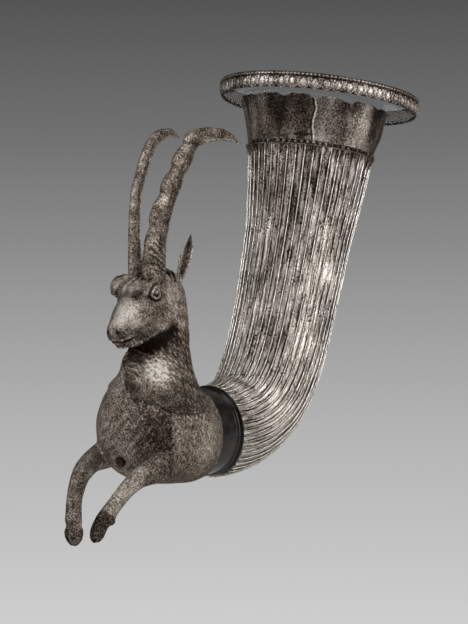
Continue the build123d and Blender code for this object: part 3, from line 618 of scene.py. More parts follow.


# Stacks of ovals: side, forward, rise, half width, half depth, pitch. Hills: place, size, mm of lift, change of tone
# (wear on some, painted light and shade on others).
animal = {
    "chest": [(0, -2.6, -0.9, 27.3, 27.3, 90), (0, -2.0, -0.9, 28.2, 28.2, 90), (0, 6, -0.6, 31.4, 29.6, 90),
              (0, 14, 0.6, 34.3, 30.2, 90), (0, 24, 1.5, 35.6, 30.6, 90), (0, 34, 2.5, 35.2, 30, 90),
              (0, 44, 3.5, 31.3, 28, 90), (0, 52, 5, 24, 23, 90), (0, 56.3, 6, 14, 14, 90), (0, 57.2, 6.3, 2, 2, 90)],
    "keel": [(0, 38, -7, 8, 8, 90), (0, 48, -10.5, 7.0, 6.6, 95), (0, 53.5, -12.0, 5.6, 5.2, 100),
             (0, 56.6, -13.0, 4.4, 4.4, 110)],
    "neck": [(0, 27, 8, 31, 28, 0), (0, 27, 16, 29.8, 27.6, 0), (0, 27, 24, 27.4, 26.4, 0),
             (0, 26.8, 31, 24.6, 25, 0), (0, 26.2, 38, 21.6, 23, 0), (0, 25.3, 46, 18.8, 20.6, 0),
             (0, 23.4, 54, 16.4, 18.0, 0),
             (0, 21.4, 62, 15.2, 16.8, 0), (0, 21.4, 70, 15.2, 16.2, 0), (0, 21.5, 78, 14.8, 15.6, 0),
             (0, 22, 86, 13.8, 13.9, 0), (0, 23.5, 92, 11.5, 11.5, 0), (0, 25, 97.2, 7.0, 7.5, 0),
             (0, 25.5, 98.2, 1, 1, 0)],
    "head": [(0, 15, 89, 2, 2, 130), (0, 18, 87.5, 9.5, 9, 130), (0, 24.5, 85, 13.2, 12.6, 130),
             (0, 31, 81.8, 14.8, 14.2, 130), (0, 37, 78, 15.6, 14.2, 130), (0, 43.0, 73.6, 14.9, 12.3, 130),
             (0, 49.5, 68.6, 12.4, 10.3, 130), (0, 55.0, 63.6, 9.6, 8.9, 130), (0, 58.8, 60.4, 8.2, 8.0, 130),
             (0, 61.4, 58.4, 6.0, 5.6, 130), (0, 62.8, 57.3, 1.2, 1.2, 130)],
    "jaw": [(0, 34, 64, 7, 5.4, 125), (0, 42, 60.6, 7.2, 5.4, 125), (0, 50, 57.0, 6.2, 4.6, 128),
            (0, 56, 54.6, 4.8, 3.2, 130), (0, 59, 53.4, 1.8, 1.4, 130)],
    "jawEdge": [(2.5, 57.5, 54.0, 0.6, 0.6, 130), (4.5, 54, 54.6, 3.0, 2.6, 130), (7.6, 48, 57.0, 3.2, 2.8, 125),
                (10.2, 41, 60.2, 3.4, 3.0, 120), (11.8, 34, 63.2, 3.6, 3.4, 115), (12.2, 28, 66.8, 3.6, 3.8, 115),
                (12.0, 24, 70, 2.0, 2.0, 115)],
    "cheek": [(9, 25, 75, 1, 1, 125), (10.2, 28.5, 71.8, 5.4, 7.2, 125), (9.4, 35, 68.2, 5.6, 7.0, 125),
              (7.6, 42, 63.8, 4.8, 5.4, 125), (5, 49, 59.8, 2.4, 2.8, 125)],
    "brow": [(6, 35, 92.0, 4.0, 3.6, 130), (10.2, 40.5, 91.4, 4.6, 3.8, 130), (12.2, 45.0, 88.8, 4.2, 3.6, 130),
             (12.6, 48.4, 85.6, 3.2, 2.8, 130), (12.2, 50.6, 82.6, 1.0, 1.0, 130)],
    "eyeBall": [(10.6, 42.6 + 5.4 * math.sin(a), 83.6, 5.2 * math.cos(a) + 0.05, 5.6 * math.cos(a) + 0.05, 90)
                for a in np.linspace(-1.5, 1.5, 9)],
    "eye": (15.0, 42.6, 85.2), "eyeShape": [1.35, 1.0, 0.92],
    "eyeRings": [(0.0, 1.5), (3.9, 0.7), (2.4, 0.7), (5.4, 0.7)],    # pupil, lid, moat, edge: radius, width
    "mouthLine": [(0.6, 62.2, 55.8), (4.8, 60.4, 55.9), (7.6, 56.6, 57.6), (9.4, 51.6, 58.8), (11.0, 45.8, 60.4),
                  (12.2, 40.0, 62.6)],
    "jawLine": [(2, 52, 50.6), (7, 46, 53.0), (10.6, 39, 56.6), (13.2, 32, 60.0), (14.4, 26, 63.6)],
    # side and rise of the soldered seam, a stepped, irregular line
    "seam": [(-40, 60), (-24, 55), (-9, 42.3), (-5, 40.5), (-3, 34), (0, 29.2), (2.5, 29), (6, 24.4), (10, 22.9),
             (13, 24.6), (16, 22.2), (22, 21.5), (26, 18), (40, 13)],
    # the skins pass each other past lapFrom on either side of the seam; the head's lap ends at the rise headFoot
    "lapFrom": 0.6, "bodyLapMm": 1.3, "headLapMm": 1.9, "headFoot": 11.0,
    "bodyVoxelMm": 0.62, "bodySmoothing": 22, "headVoxelMm": 0.6, "headSmoothing": 9, "sinkMm": 0.30,
    # swellings that body and head share, so that their skins stay together along the seam
    "swells": [((-20, 46, 29), (10, 10, 7), 2.6, 0), ((-13, 47, 47), (8, 6, 4), 2.2, 0),
               ((-17, 44, 35), (8, 8, 5), -0.9, 0), ((10, 11, 55), (8, 8, 14), 1.1, 0),
               ((12, 7, 24), (11, 8, 7), 1.8, 0), ((9, 27, 92), (7, 6, 6), 1.8, 0),
               ((-13, 45, 93), (6, 7, 5), 1.6, 0)],
    # muscle over the shoulders, a hollow breastbone, and painted highlights on flank and far breast
    "bodyHills": [((29, 26, -4), (9, 13, 15), 0.9, 0), ((-29, 24, -4), (9, 13, 15), 0.9, 0),
                  ((0, 52, -4), (5, 8, 10), -0.8, 0), ((33, 16, -6), (12, 14, 20), 0, 0.22),
                  ((-20, 44, -2), (9, 12, 8), 0, 0.20)],
    # on both sides of the face: hollow before the eye, cheek hollow, temple hollow, cheek, nostril
    "faceHills": [((4.6, 47.0, 84.0), (4.4, 4.0, 3.4), -1.5, 0), ((10.5, 47.5, 76.5), (3.2, 4.2, 3.6), -0.9, 0),
                  ((15.5, 31.5, 84.0), (5, 3.4, 5.5), -1.0, 0), ((12.5, 33.5, 72.0), (5, 6, 6), 0.7, 0),
                  ((4.4, 64.0, 62.0), (1.7, 2.2, 1.5), -0.8, -0.4)],
    # painted light and shade: painted shadow under the jaw, painted highlights on the nose and behind the eye, painted
    # shade under the eye, painted shadow on the throat, painted highlight on the forehead, painted shade in the eye
    # hollows, deeper on the near side
    "headPaintedLight": [((9, 38, 54), (8, 8, 6), 0, -0.22), ((6, 52, 72), (5, 6, 7), 0, 0.22),
                  ((14, 29, 80), (6, 5, 6), 0, 0.25), ((14, 36, 76), (5, 5, 5), 0, -0.20),
                  ((0, 41, 58), (17, 12, 6.5), 0, -0.30), ((-2, 47, 90), (14, 8, 5), 0, 0.25),
                  ((4.6, 47.0, 83.5), (4.4, 4.2, 3.2), 0, -0.55), ((-4.6, 47.0, 83.5), (4.4, 4.2, 3.2), 0, -0.15)],
}


def addHills(hills, places, lift, wearAndPaintedLight, hand=1):
    # adds a table of round hills to the lift and the tone, which holds wear and painted light and shade; hand -1 puts
    # them on the other side
    for (side, forward, rise), size, high, wearAndLightShift in hills:
        shape = bump(places, animalPlace(hand * side, forward, rise), size)
        lift += high * shape
        wearAndPaintedLight += wearAndLightShift * shape


def weld(name, stacks, voxelMm, smoothTimes):
    # joins overlapping closed grids into one skin: a fine voxel remesh, then a little smoothing
    raw = gridMesh(name, stacks, caps=range(len(stacks)))
    return bakeModifiers(raw, [("REMESH", {"mode": "VOXEL", "voxel_size": voxelMm * mm, "use_smooth_shade": True}),
                               ("SMOOTH", {"factor": 0.5, "iterations": smoothTimes})])


def hairStrokes(places, along, pitchMm, lengthMm, seed):
    # short chased strokes: thin waves across the hair's run, broken up along it by a slow field
    along = np.array(along, float)
    along = along / np.linalg.norm(along)
    side = np.cross(along, np.array([0.3, -0.5, 0.8]))
    side /= np.linalg.norm(side)
    run = places @ along
    over = places @ side + 1.4 * roughField(places, 9, seed, 1)
    row = np.sin(wholeTurn * over / pitchMm)
    gate = np.sin(wholeTurn * (run / lengthMm + 0.35 * np.sin(wholeTurn * over / (pitchMm * 2.0))))
    return np.clip(row, 0, 1) * smoothStep(-0.3, 0.6, gate)


def aboveSeam(side, rise):
    # how far a place lies above the seam between body and head
    return rise - np.interp(side, *zip(*animal["seam"]))


def lineGaps(places, line, hand, count):
    # distance of each vertex from each of count points along a smooth line on one side of the face
    points = smoothRows([(hand * side, forward, rise) for side, forward, rise in line], count)
    return np.sqrt(((places[:, None, :] - animalPlace(*points.T)[None]) ** 2).sum(-1))


def dropBelow(mesh, rise):
    # cuts off what lies under a rise and closes the cut with one face
    shape = bmesh.new()
    shape.from_mesh(mesh)
    cut = bmesh.ops.bisect_plane(shape, geom=shape.verts[:] + shape.edges[:] + shape.faces[:],
                                 plane_co=(0, 0, (animalAxis + rise) * mm), plane_no=(0, 0, -1), clear_outer=True)
    bmesh.ops.contextual_create(shape, geom=[e for e in cut["geom_cut"] if isinstance(e, bmesh.types.BMEdge)])
    shape.to_mesh(mesh)
    shape.free()
    mesh.update()


def makeAnimalBody():
    # chest, root of the neck, shoulders and keel as stacks of ovals, welded; then lifts over the whole skin
    root = ovalStack([row for row in animal["neck"] if row[2] <= 54], 50, 84)
    shoulders = [ovalStack(legs[key]["path"][:4], 30, 48) for key in ("left", "right")]
    stacks = [ovalStack(animal["chest"], 60, 96, 2.15), root, *shoulders, ovalStack(animal["keel"], 12, 32)]
    mesh = weld("animalBody", stacks, animal["bodyVoxelMm"], animal["bodySmoothing"])
    places, normals = meshArrays(mesh)
    side, forward, rise = animalColumns(places)
    lift, wearAndPaintedLight = np.zeros(len(places)), np.full(len(places), 0.40)
    addHills(animal["swells"] + animal["bodyHills"], places, lift, wearAndPaintedLight)
    hair = hairStrokes(places, (0.2, -0.4, -0.9), 3.0, 7.0, 51)
    hairMask = np.clip(smoothStep(6, 22, rise) * smoothStep(44, 30, forward)
                       + 0.5 * smoothStep(-2, 14, side) * smoothStep(44, 20, forward), 0, 1)
    lift += 0.16 * roughField(places, 11, 52, 3) + 0.10 * roughField(places, 3.2, 53, 2)
    lift += 0.20 * (hair - 0.4) * hairMask
    wearAndPaintedLight += 0.30 * hair * hairMask + 0.12 * roughField(places, 8, 54, 3)
    wearAndPaintedLight += 0.22 * roughField(places * np.array([1, 1, 0.5]), 2.2, 56, 3)
    # the solder line is a sunk dark crack in front, and the skin dives under the head's above it
    above = aboveSeam(side, rise)
    crack = hill(above, 0.8) * smoothStep(8, 30, forward)
    lift = np.where(above > animal["lapFrom"], -animal["bodyLapMm"], lift - 0.55 * crack - animal["sinkMm"])
    wearAndPaintedLight -= 0.6 * crack
    # painted light and shade on the breast: its near half is painted dark up to a crisp edge, where a painted highlight
    # starts the brighter flank; the far half is painted paler;
    # quarter says how far a place lies to the right as the photograph's camera sees it, with a ragged edge
    quarter = 0.766 * side - 0.643 * forward + 1.6 * roughField(places, 7, 55, 4)
    breast = smoothStep(-4.6, -7.6, quarter) * smoothStep(-34, -14, quarter) * smoothStep(-30, -14, rise)
    wearAndPaintedLight += 0.14 * smoothStep(-24, -34, quarter) * smoothStep(6, 24, forward) - 0.25 * breast * smoothStep(24, 10, rise)
    lift += (0.8 * hill(quarter + 5.4, 2.2) * smoothStep(-24, -14, rise) * smoothStep(16, 6, rise)
             * (side > 0) * (forward > 8))
    wearAndPaintedLight += 0.12 * hill(quarter + 3.0, 3.0) * smoothStep(-8, 2, rise) * smoothStep(18, 10, rise) * (forward > 8)
    carve(mesh, places, normals, lift, wearAndPaintedLight)
    showPiece("animalBodySkin", mesh, bodySilver, "animal_body")


def makeAnimalHead():
    # neck, skull, jaw, cheeks, brows and eyeballs as stacks of ovals, welded; the carved face is lifts on the skin
    stacks = [ovalStack(animal["neck"], 110, 84), ovalStack(animal["chest"], 60, 96, 2.15),
              ovalStack(animal["head"], 80, 72), *pairedStacks(animal["cheek"], 24, 28),
              ovalStack(animal["jaw"], 24, 32), *pairedStacks(animal["jawEdge"], 30, 24),
              *pairedStacks(animal["brow"], 20, 28), *pairedStacks(animal["eyeBall"], 20, 24)]
    mesh = weld("animalHead", stacks, animal["headVoxelMm"], animal["headSmoothing"])
    places, normals = meshArrays(mesh)
    side, forward, rise = animalColumns(places)
    lift, wearAndPaintedLight = np.zeros(len(places)), np.zeros(len(places))
    addHills(animal["swells"] + animal["headPaintedLight"], places, lift, wearAndPaintedLight)
    onFace = smoothStep(-2, 2, rise - (92 - 0.78 * forward))
    for hand in (-1, 1):
        addHills(animal["faceHills"], places, lift, wearAndPaintedLight, hand)
        # eye: an almond ring about a raised pupil, with a moat between them and a sunk edge outside
        centre = animalPlace(hand * animal["eye"][0], *animal["eye"][1:])
        away = np.linalg.norm((places - centre) / np.array(animal["eyeShape"]), axis=1)
        pupil, lid, moat, edge = (hill(away - ring, width) for ring, width in animal["eyeRings"])
        lift += 0.9 * pupil + 0.9 * lid - 0.5 * moat - 0.6 * edge
        wearAndPaintedLight += 0.30 * pupil + 0.30 * lid - 0.45 * moat - 0.45 * edge
        # mouth: a groove with a raised lip that runs back from the muzzle, turns up at the cheek and fades there
        gaps = lineGaps(places, animal["mouthLine"], hand, 40)
        gap, fade = gaps.min(1), 1 - 0.9 * smoothStep(0.35, 0.75, gaps.argmin(1) / 39)
        lift -= fade * (0.75 * hill(gap, 0.75) - 0.28 * hill(gap - 1.7, 0.7))
        wearAndPaintedLight += fade * (0.20 * hill(gap - 2.0, 0.9) - 0.5 * hill(gap, 0.9))
        # jaw: a groove along its lower edge, painted dark there as shadow, and a painted highlight on the face a little
        # above it
        gap = lineGaps(places, animal["jawLine"], hand, 30).min(1)
        lift -= 0.7 * hill(gap, 2.2)
        wearAndPaintedLight += 0.22 * hill(gap - 5.5, 1.6) * onFace - 0.45 * hill(gap, 3.4)
    # hair on the neck, weaker on the face, and locks of the tuft between the horns
    onHead = smoothStep(60, 70, rise + 0.55 * (forward - 40))
    hair = hairStrokes(places, (0.15, -0.5, 0.85), 2.4, 6.0, 61)
    hairMask = np.clip(smoothStep(66, 54, rise) * smoothStep(30, 36, rise) + 0.7 * smoothStep(36, 28, forward), 0, 1)
    tuft = smoothStep(90, 94, rise)
    lock = np.sin(np.arctan2(side, forward - 26) * 18 + 0.5 * rise + 2.0 * roughField(places, 6, 66, 1))
    lift += 0.30 * (hair - 0.4) * hairMask * (1 - 0.5 * onHead) + 0.7 * tuft * lock
    lift += 0.14 * roughField(places, 4, 62, 3) + 0.20 * roughField(places, 12, 63, 2) - animal["sinkMm"]
    # bridge of the nose: small dents, and a painted highlight in the tone below
    bridge = bump(places, animalPlace(0, 56, 72), (7, 10, 10))
    lift -= 0.30 * bridge * smoothStep(0.2, 0.9, roughField(places, 2.6, 64, 2))
    wearAndPaintedLight += 0.44 + 0.34 * hair * hairMask - 0.18 * smoothStep(66, 58, rise) + 0.50 * bridge
    wearAndPaintedLight += 0.14 * roughField(places, 7, 65, 3) + tuft * (0.25 * lock - 0.12)
    wearAndPaintedLight -= 0.30 * smoothStep(1.6, 0.4, np.abs(rise - 94.5 - 0.8 * lock))
    # a painted highlight on the breast under the head, the brightest place, broken into speckles
    wearAndPaintedLight += (0.62 + 0.55 * roughField(places, 2.6, 67, 3)) * bump(places, animalPlace(13, 39, 38), (9, 10, 10.5))
    # under the seam the skin dives beneath the body's
    lift = np.where(aboveSeam(side, rise) < -animal["lapFrom"], -animal["headLapMm"], lift)
    carve(mesh, places, normals, lift, wearAndPaintedLight)
    dropBelow(mesh, animal["headFoot"])
    showPiece("animalHeadSkin", mesh, headSilver, "animal_head")


# Forelegs: the hoof starts where forward and rise, weighed by hoofAlong, pass from the first to the second hoofFrom.
legs = {
    "left": {
        "path": [(19, 24, -7, 8, 13, 80), (23, 36, -10.6, 8.6, 12.6, 80), (24, 49.4, -14.4, 7.5, 9.8, 82),
                 (24, 60.2, -17.2, 6.3, 7.6, 95), (23, 68.3, -20.6, 5.2, 6.0, 115), (22, 77.8, -27.0, 4.4, 5.1, 130),
                 (21, 87.4, -35.6, 4.3, 4.9, 130), (20.5, 90, -38.8, 4.8, 5.4, 130),
                 (19.5, 94.0, -43.0, 4.3, 5.1, 130), (18.5, 96.8, -48.7, 4.1, 4.9, 140),
                 (18.1, 98.7, -52.4, 2.6, 3.2, 145), (18, 99.4, -53.8, 0.5, 0.6, 145)],
        "dewclaw": [(20.5, 84.5, -41.5, 0.6, 0.6, 130), (20.5, 86, -42.6, 2.0, 2.0, 130),
                    (20.0, 87.8, -44.2, 1.6, 1.6, 130), (20, 88.6, -45, 0.4, 0.4, 130)],
        "hoofAlong": (0.6, -0.8), "hoofFrom": (84.5, 86.5), "hoofDark": 0.45,
        "cleftSide": 18.6, "cleftMm": 0.7, "cleftFrom": 0, "pittingMm": 0.03, "shinTone": 0.25, "sinkMm": 0.16,
        "voxelMm": 0.5, "smoothing": 4,
    },
    "right": {
        "path": [(-18, 18, -5, 8, 13, 80), (-23, 28, -7, 8.4, 12.2, 80), (-25.6, 41.4, -10.6, 7.0, 9.9, 82),
                 (-24.0, 54.4, -13.9, 6.1, 7.5, 95), (-21.8, 64.2, -18.2, 5.5, 6.7, 118),
                 (-20.8, 69.9, -23.4, 5.0, 5.9, 142), (-19.8, 74.9, -33.8, 4.5, 5.1, 165),
                 (-18.5, 77.2, -44.1, 4.7, 5.2, 172), (-18.3, 77.4, -47.2, 4.9, 5.6, 175),
                 (-18.1, 77.4, -49.6, 4.3, 4.9, 178), (-18, 77.5, -53.4, 5.3, 6.1, 180),
                 (-18, 77.3, -58, 4.5, 5.0, 180), (-18, 77.2, -61.2, 2.2, 2.2, 180), (-18, 77.2, -61.9, 0.4, 0.4, 180)],
        "dewclaw": None, "hoofAlong": (0, 1), "hoofFrom": (-50.5, -52.0), "hoofDark": 0.15,
        "cleftSide": -18.0, "cleftMm": 0.6, "cleftFrom": 77, "pittingMm": 0.12, "shinTone": -0.12, "sinkMm": 0.16,
        "voxelMm": 0.5, "smoothing": 4,
    },
}

makeAnimalBody()
print("animal body made")
makeAnimalHead()
print("animal head made")


def makeLeg(key, silver):
    # ovals along the leg's path; the hoof is parted by a groove, and the left fetlock has a dewclaw
    leg = legs[key]
    stacks = [ovalStack(leg["path"], 120, 40)] + ([ovalStack(leg["dewclaw"], 10, 16)] if leg["dewclaw"] else [])
    mesh = weld(key + "ForelegSkin", stacks, leg["voxelMm"], leg["smoothing"])
    places, normals = meshArrays(mesh)
    side, forward, rise = animalColumns(places)
    hoof = smoothStep(*leg["hoofFrom"], forward * leg["hoofAlong"][0] + rise * leg["hoofAlong"][1])
    cleft = hill(side - leg["cleftSide"], leg["cleftMm"]) * hoof * (forward > leg["cleftFrom"])
    lift = 0.10 * roughField(places, 5, 71, 3) + leg["pittingMm"] * roughField(places, 1.8, 72, 2)
    lift -= 0.5 * cleft + leg["sinkMm"]
    wearAndPaintedLight = 0.40 + 0.24 * roughField(places, 9, 73, 3) + leg["shinTone"] * smoothStep(60, 74, forward)
    wearAndPaintedLight -= 0.5 * cleft + leg["hoofDark"] * hoof
    carve(mesh, places, normals, lift, wearAndPaintedLight)
    showPiece(key + "ForelegSkin", mesh, silver, key + "_foreleg")


makeLeg("left", bodySilver)
makeLeg("right", legSilver)
print("legs made")

# Animal's horns: path rows are side, forward, rise, half width, half depth; knobs are rise and height in mm.
goatHorns = {
    "left": {
        "path": [(8.6, 36.6, 90, 5.2, 7.4), (9, 38.0, 100, 5.4, 9.0), (9.8, 37.0, 115, 5.0, 7.6),
                 (10.6, 34.6, 123, 4.6, 6.8), (11, 34.9, 128, 4.8, 8.0), (12.6, 29.9, 139.3, 4.2, 6.2),
                 (13.3, 28.4, 145.5, 4.4, 7.4),
                 (14.6, 22.9, 155, 3.9, 5.8), (15.4, 20.1, 161, 4.0, 6.8), (16.4, 15.6, 168.6, 3.6, 5.4),
                 (17.5, 12.8, 173.0, 3.7, 5.6), (18.8, 6, 175.8, 3.1, 4.9), (20.3, -2.5, 176.6, 2.8, 4.4),
                 (22, -12.3, 175.9, 2.2, 3.2), (24, -22.0, 171.6, 0.6, 0.7)],
        "knobs": [(112, 0.9), (132, 1.3), (156.5, 1.5), (170.5, 1.1)],
        "tone": 0.36, "roughness": 1.0, "grooveMm": 0.25, "grooveDark": 0.10, "sinkMm": 0.25,
    },
    "right": {
        "path": [(-8.2, 35, 90, 4.0, 4.6), (-8.5, 34.9, 101, 4.1, 5.0), (-9.5, 34.5, 114.9, 3.5, 4.2),
                 (-10.6, 33, 129.5, 3.3, 4.0), (-11.8, 30.2, 141.1, 3.1, 3.7), (-12.6, 27.6, 147, 3.3, 4.0),
                 (-14.5, 20.1, 160.5, 3.2, 4.0), (-15.8, 13.5, 169.6, 3.0, 4.2), (-17, 6, 175.3, 2.7, 4.0),
                 (-18, -2.4, 177.8, 2.3, 3.3), (-19.6, -10.4, 178.0, 1.8, 2.5), (-21, -18.4, 175.4, 0.5, 0.5)],
        "knobs": [(139, 0.8), (157, 0.5)],
        "tone": 0.50, "roughness": 0.45, "grooveMm": 0.62, "grooveDark": 0.14, "sinkMm": 0.25,
    },
}


def makeGoatHorn(key):
    # ovals square to a curved path, with growth knobs on the front, slanting ridges on the side near the foot
    # and a lengthwise groove behind them
    horn = goatHorns[key]
    rows = smoothRows(horn["path"], 300)
    path = animalPlace(*rows[:, :3].T)
    forward = pathForward(path)
    side = np.array([1.0, 0, 0]) - forward * forward[:, :1]
    side /= np.linalg.norm(side, axis=1, keepdims=True)
    front = np.cross(side, forward)
    angle = roundAngles(64)[None, :]
    c, s = np.cos(angle), np.sin(angle)
    run = pathRun(path)[:, None]
    base = (path[:, None] + (c * rows[:, 3:4])[..., None] * side[:, None]
            + (s * rows[:, 4:5])[..., None] * front[:, None])
    ends = smoothStep(0, 6, run[-1, 0] - run)    # 0 at the tip, where all relief fades out
    # a knob swells toward its lower end, which stands over a notch
    knobs = 0 * run
    for rise, high in horn["knobs"]:
        start = run[np.argmin(np.abs(rows[:, 2] - rise)), 0]
        knobs = knobs + high * smoothStep(start - 1.4, start + 0.6, run) * np.clip(1 - (run - start) / 10, 0, 1)
    knobs = knobs * np.clip(s, 0, 1) ** 2
    if key == "left":
        slant = np.sin(wholeTurn * (run - 4.5 * s + 1.3 * roughField(base, 7, 84, 2)) / 3.4)
        ridge = 0.24 * slant * smoothStep(36, 20, run) * smoothStep(5, 9, run) * np.clip(np.abs(c) * 1.4 - 0.2, 0, 1)
    else:
        ridge = 0.03 * np.sin(wholeTurn * (run + 2 * s) / 5.0)
    groove = hill(np.abs(c) - 0.93, 0.16) * (s < 0.35)
    lift = (ridge + knobs - horn["grooveMm"] * groove * smoothStep(4, 12, run)) * ends
    pitting = 0.30 * roughField(base, 5, 81, 3) + 0.22 * roughField(base, 2.2, 82, 2)
    lift = lift + pitting * ends * horn["roughness"] - horn["sinkMm"] * ends
    skin = base + around(angle, side[:, None], front[:, None]) * lift[..., None]
    wearAndPaintedLight = np.clip(horn["tone"] + 0.375 / 0.42 * ridge - horn["grooveDark"] * groove + 0.25 * np.clip(knobs, 0, 1)
                   + 0.22 * roughField(base, 8, 83, 3) + 0.3 * hill(s + 0.9, 0.25), 0, 1)
    mesh = gridMesh(key + "Horn", [skin[:, ::-1]], caps=[0], wearAndPaintedLight=[wearAndPaintedLight[:, ::-1]])
    showPiece(key + "HornSkin", mesh, goatHornSilver, key + "_horn")


makeGoatHorn("left")
makeGoatHorn("right")

ears = {
    "leftPath": [(10.5, 21.5, 88.5), (14.0, 21.5, 92), (16.8, 21.2, 99), (18.4, 20.0, 107), (19.3, 18.8, 113),
                 (19.9, 17.8, 118.2)],
    "leftWidthAt": [(0, 2.4), (0.15, 2.4), (0.35, 3.0), (0.55, 3.9), (0.75, 3.3), (0.9, 1.6), (1.0, 0.2)],
    "leftThickAt": [(0, 1.7), (0.3, 1.5), (0.7, 1.1), (1.0, 0.2)],
    "hollowMm": 1.2, "cupMm": 0.9, "turn": (0.64, 0.77),    # the leaf's thickness points this far sideways, forward
    "stumpPath": [(-10.5, 22, 88.5), (-13.3, 22.2, 92), (-15.0, 22.1, 95), (-15.4, 22.0, 96.9)],
    "stumpWidthAt": [(0, 2.6), (0.5, 2.9), (0.9, 2.0), (1.0, 0.6)],
}


def makeEars():
    # left, a leaf: width and cup over its length; the inner face is sunk so that it reads as a hollow
    t = np.linspace(0, 1, 40)[:, None]
    angle = roundAngles(40)[None, :]
    c, s = np.cos(angle), np.sin(angle)
    side, forward, rise = smoothRows(ears["leftPath"], 40).T[..., None]
    width, thick = np.interp(t, *zip(*ears["leftWidthAt"])), np.interp(t, *zip(*ears["leftThickAt"]))
    hollow = (ears["hollowMm"] * np.clip(1 - (s / 0.75) ** 2, 0, 1) * (c > 0)
              * smoothStep(0.12, 0.3, t) * smoothStep(1.0, 0.8, t))
    cup = thick * c - hollow + ears["cupMm"] * s ** 2 * smoothStep(0.1, 0.5, t)
    aside, ahead = ears["turn"]
    skin = animalPlace(side + aside * cup + ahead * width * s, forward + ahead * cup - aside * width * s, rise)
    mesh = gridMesh("leftEar", [skin], caps=[0], wearAndPaintedLight=[np.clip(0.60 - 0.30 * hollow + 0.2 * np.abs(s), 0, 1)])
    showPiece("leftEarSkin", mesh, bodySilver, "left_ear")
    # right, a broken stump: flat ovals up a short path
    side, forward, rise = smoothRows(ears["stumpPath"], 16).T[..., None]
    width = np.interp(np.linspace(0, 1, 16)[:, None], *zip(*ears["stumpWidthAt"]))
    skin = animalPlace(side + 1.4 * width / 2.9 * c, forward + width * s * 0.8, rise)
    mesh = gridMesh("rightEar", [skin[:, ::-1]], caps=[0], wearAndPaintedLight=[0.3])
    showPiece("rightEarStumpSkin", mesh, bodySilver, "right_ear")


makeEars()

pouringSpout = {
    "tip": (58.5, -13.6), "pitch": 20.0, "columns": 48,    # forward and rise of the tip, degrees that it points down
    # along the tube from its tip, radius, wear: round the lip, back outside, in again and forward in the bore
    "profile": [(-0.05, 2.1, 0.5), (-0.05, 2.75, 0), (-0.5, 3.12, 0), (-1.4, 3.1, 0), (-2.2, 2.95, 0.35),
                (-13.8, 2.95, 0.5), (-13.8, 2.02, 0.6), (-0.5, 2.02, 0.6), (-0.05, 2.1, 0.5)],
}


def makeSpout():
    # turned tube with a rolled lip, tilted down in the middle plane
    angle = roundAngles(pouringSpout["columns"])[None, :]
    pitch = math.radians(pouringSpout["pitch"])
    along, radius, wearAndPaintedLight = np.array(pouringSpout["profile"]).T[..., None]
    forward = pouringSpout["tip"][0] + along * math.cos(pitch) + radius * np.sin(angle) * math.sin(pitch)
    rise = pouringSpout["tip"][1] - along * math.sin(pitch) + radius * np.sin(angle) * math.cos(pitch)
    mesh = gridMesh("spout", [animalPlace(radius * np.cos(angle), forward, rise)], wearAndPaintedLight=[wearAndPaintedLight])
    showPiece("spoutSkin", mesh, bodySilver, "spout")


makeSpout()
print("horns, ears and spout made")

studio = {
    "backdrop": [(0.0, "#cecece"), (0.12, "#c4c4c4"), (0.28, "#b6b6b6"), (0.46, "#a0a0a0"), (0.60, "#8a8a8a"),
                 (0.76, "#727273"), (0.92, "#5d5d5e"), (1.0, "#525253")],
    "fillColour": "#c8c8c8", "fill": 0.55,
    "floorRise": -0.45, "floorColours": [(0.0, "#cfcfcf"), (1.0, "#d6d6d6")],
    "lampTarget": (0, -0.08, -0.13),
    # name, metres to the right, up and back toward the camera from the lamps' target, size, watts
    "lamps": [("keySoftbox", (-0.85, 0.75, 0.75), (0.6, 0.9), 9.0),
              ("rightSoftbox", (1.0, 0.25, 0.35), (0.35, 1.1), 7.0), ("topSoftbox", (0.2, 1.0, 0.3), (0.7, 0.5), 3.0)],
    "cameraAzimuth": 40.0, "cameraElevation": 3.0, "cameraDistance": 1.536,
    "cameraTarget": (-0.0368, -0.0401, -0.1343), "lensMm": 140.0, "sensorMm": 36.0,
}


def makeWorld():
    # grey paper backdrop, dark above and pale below, seen by camera, gloss and glass; a plain grey lights the rest
    world = bpy.data.worlds.new("studio backdrop")
    bpy.context.scene.world = world
    world.use_nodes = True
    tree = world.node_tree
    tree.nodes.clear()
    direction = addNode(tree, "ShaderNodeTexCoord").outputs["Generated"]
    up = addNode(tree, "ShaderNodeSeparateXYZ", None, {0: direction}).outputs["Z"]
    level = addNode(tree, "ShaderNodeMapRange", {"From Min": -0.18, "From Max": 0.08}, {"Value": up}).outputs["Result"]
    ramp = addNode(tree, "ShaderNodeValToRGB", None, {"Fac": level})
    rampStops(ramp, studio["backdrop"])
    seen = addNode(tree, "ShaderNodeBackground", {"Strength": 1.0}, {"Color": ramp.outputs["Color"]}).outputs[0]
    plain = addNode(tree, "ShaderNodeBackground",
                    {"Color": hexColour(studio["fillColour"]), "Strength": studio["fill"]}).outputs[0]
    rays = addNode(tree, "ShaderNodeLightPath")
    either = rays.outputs["Is Camera Ray"]
    for kind in ("Is Glossy Ray", "Is Transmission Ray"):
        either = addNode(tree, "ShaderNodeMath", {"operation": "MAXIMUM"},
                         {0: either, 1: rays.outputs[kind]}).outputs[0]
    mixed = addNode(tree, "ShaderNodeMixShader", None, {0: either, 1: plain, 2: seen}).outputs[0]
    addNode(tree, "ShaderNodeOutputWorld", None, {"Surface": mixed})


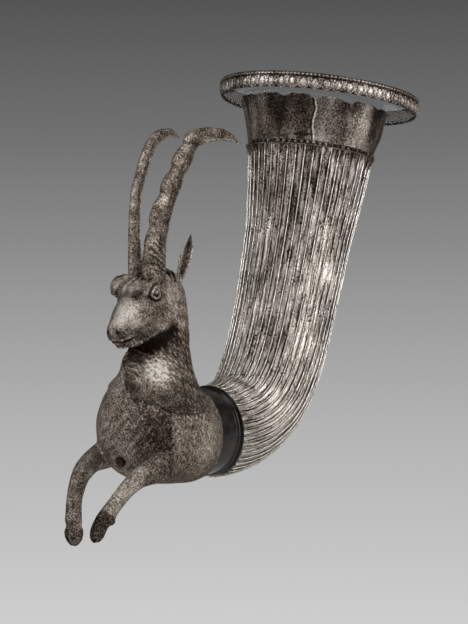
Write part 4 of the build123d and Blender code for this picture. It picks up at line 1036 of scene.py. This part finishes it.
def makeFloor():
    # pale round floor well below the held cup, fading out at its edge
    angle = roundAngles(96)[None, :]
    radii = np.array([0.001, 250, 560])[:, None]
    grid = np.stack(np.broadcast_arrays(radii * np.cos(angle), -100 + radii * np.sin(angle),
                                        studio["floorRise"] / mm), -1)
    floor = bpy.data.objects.new("floor", gridMesh("floor", [grid], smooth=False))
    bpy.context.scene.collection.objects.link(floor)
    # Matt drawing paper: pale grey, with a faint fibre
    material, tree, shader, place = newMaterial("pale paper floor")
    fibre = addNode(tree, "ShaderNodeTexNoise", {"Scale": 300.0, "Detail": 2.0}, {"Vector": place}).outputs["Fac"]
    ramp = addNode(tree, "ShaderNodeValToRGB", None, {"Fac": fibre})
    rampStops(ramp, studio["floorColours"])
    tree.links.new(ramp.outputs["Color"], shader.inputs["Base Color"])
    shader.inputs["Roughness"].default_value = 0.9
    shifted = addNode(tree, "ShaderNodeVectorMath", {"operation": "ADD", 1: (0.0, 0.1, 0.45)}, {0: place}).outputs[0]
    distance = addNode(tree, "ShaderNodeVectorMath", {"operation": "LENGTH"}, {0: shifted}).outputs["Value"]
    edge = addNode(tree, "ShaderNodeMapRange",
                   {"From Min": 0.30, "From Max": 0.55, "To Min": 1.0, "To Max": 0.0,
                    "interpolation_type": "SMOOTHSTEP"}, {"Value": distance}).outputs["Result"]
    tree.links.new(edge, shader.inputs["Alpha"])
    floor.data.materials.append(material)


def placeHolder(name, data, place, look):
    # puts a lamp or a camera at a place, pointing along a direction
    holder = bpy.data.objects.new(name, data)
    bpy.context.scene.collection.objects.link(holder)
    holder.location = place.tolist()
    holder.rotation_mode = "QUATERNION"
    holder.rotation_quaternion = mathutils.Vector(look.tolist()).to_track_quat("-Z", "Y")
    return holder


def cameraBasis():
    # right, up and back directions of the photograph's view, as rows
    azimuth, elevation = math.radians(studio["cameraAzimuth"]), math.radians(studio["cameraElevation"])
    level = math.cos(elevation)
    back = np.array([math.sin(azimuth) * level, -math.cos(azimuth) * level, math.sin(elevation)])
    right = np.array([math.cos(azimuth), math.sin(azimuth), 0])
    return np.array([right, np.cross(back, right), back])


def makeStudio():
    # lamps stand off from their target along the camera's right, up and back; the camera stands straight back
    makeWorld()
    makeFloor()
    basis = cameraBasis()
    for name, offset, size, watts in studio["lamps"]:
        lamp = bpy.data.lights.new(name, "AREA")
        lamp.shape = "RECTANGLE"
        lamp.size, lamp.size_y = size
        lamp.energy = watts
        away = np.array(offset) @ basis
        placeHolder(name, lamp, np.array(studio["lampTarget"]) + away, -away)
    camera = bpy.data.cameras.new("camera")
    camera.lens, camera.sensor_width = studio["lensMm"], studio["sensorMm"]
    camera.clip_start, camera.clip_end = 0.05, 20.0
    place = np.array(studio["cameraTarget"]) + studio["cameraDistance"] * basis[2]
    bpy.context.scene.camera = placeHolder("camera", camera, place, -basis[2])
    bpy.context.scene.view_settings.view_transform = "Standard"


makeStudio()
print("studio made")
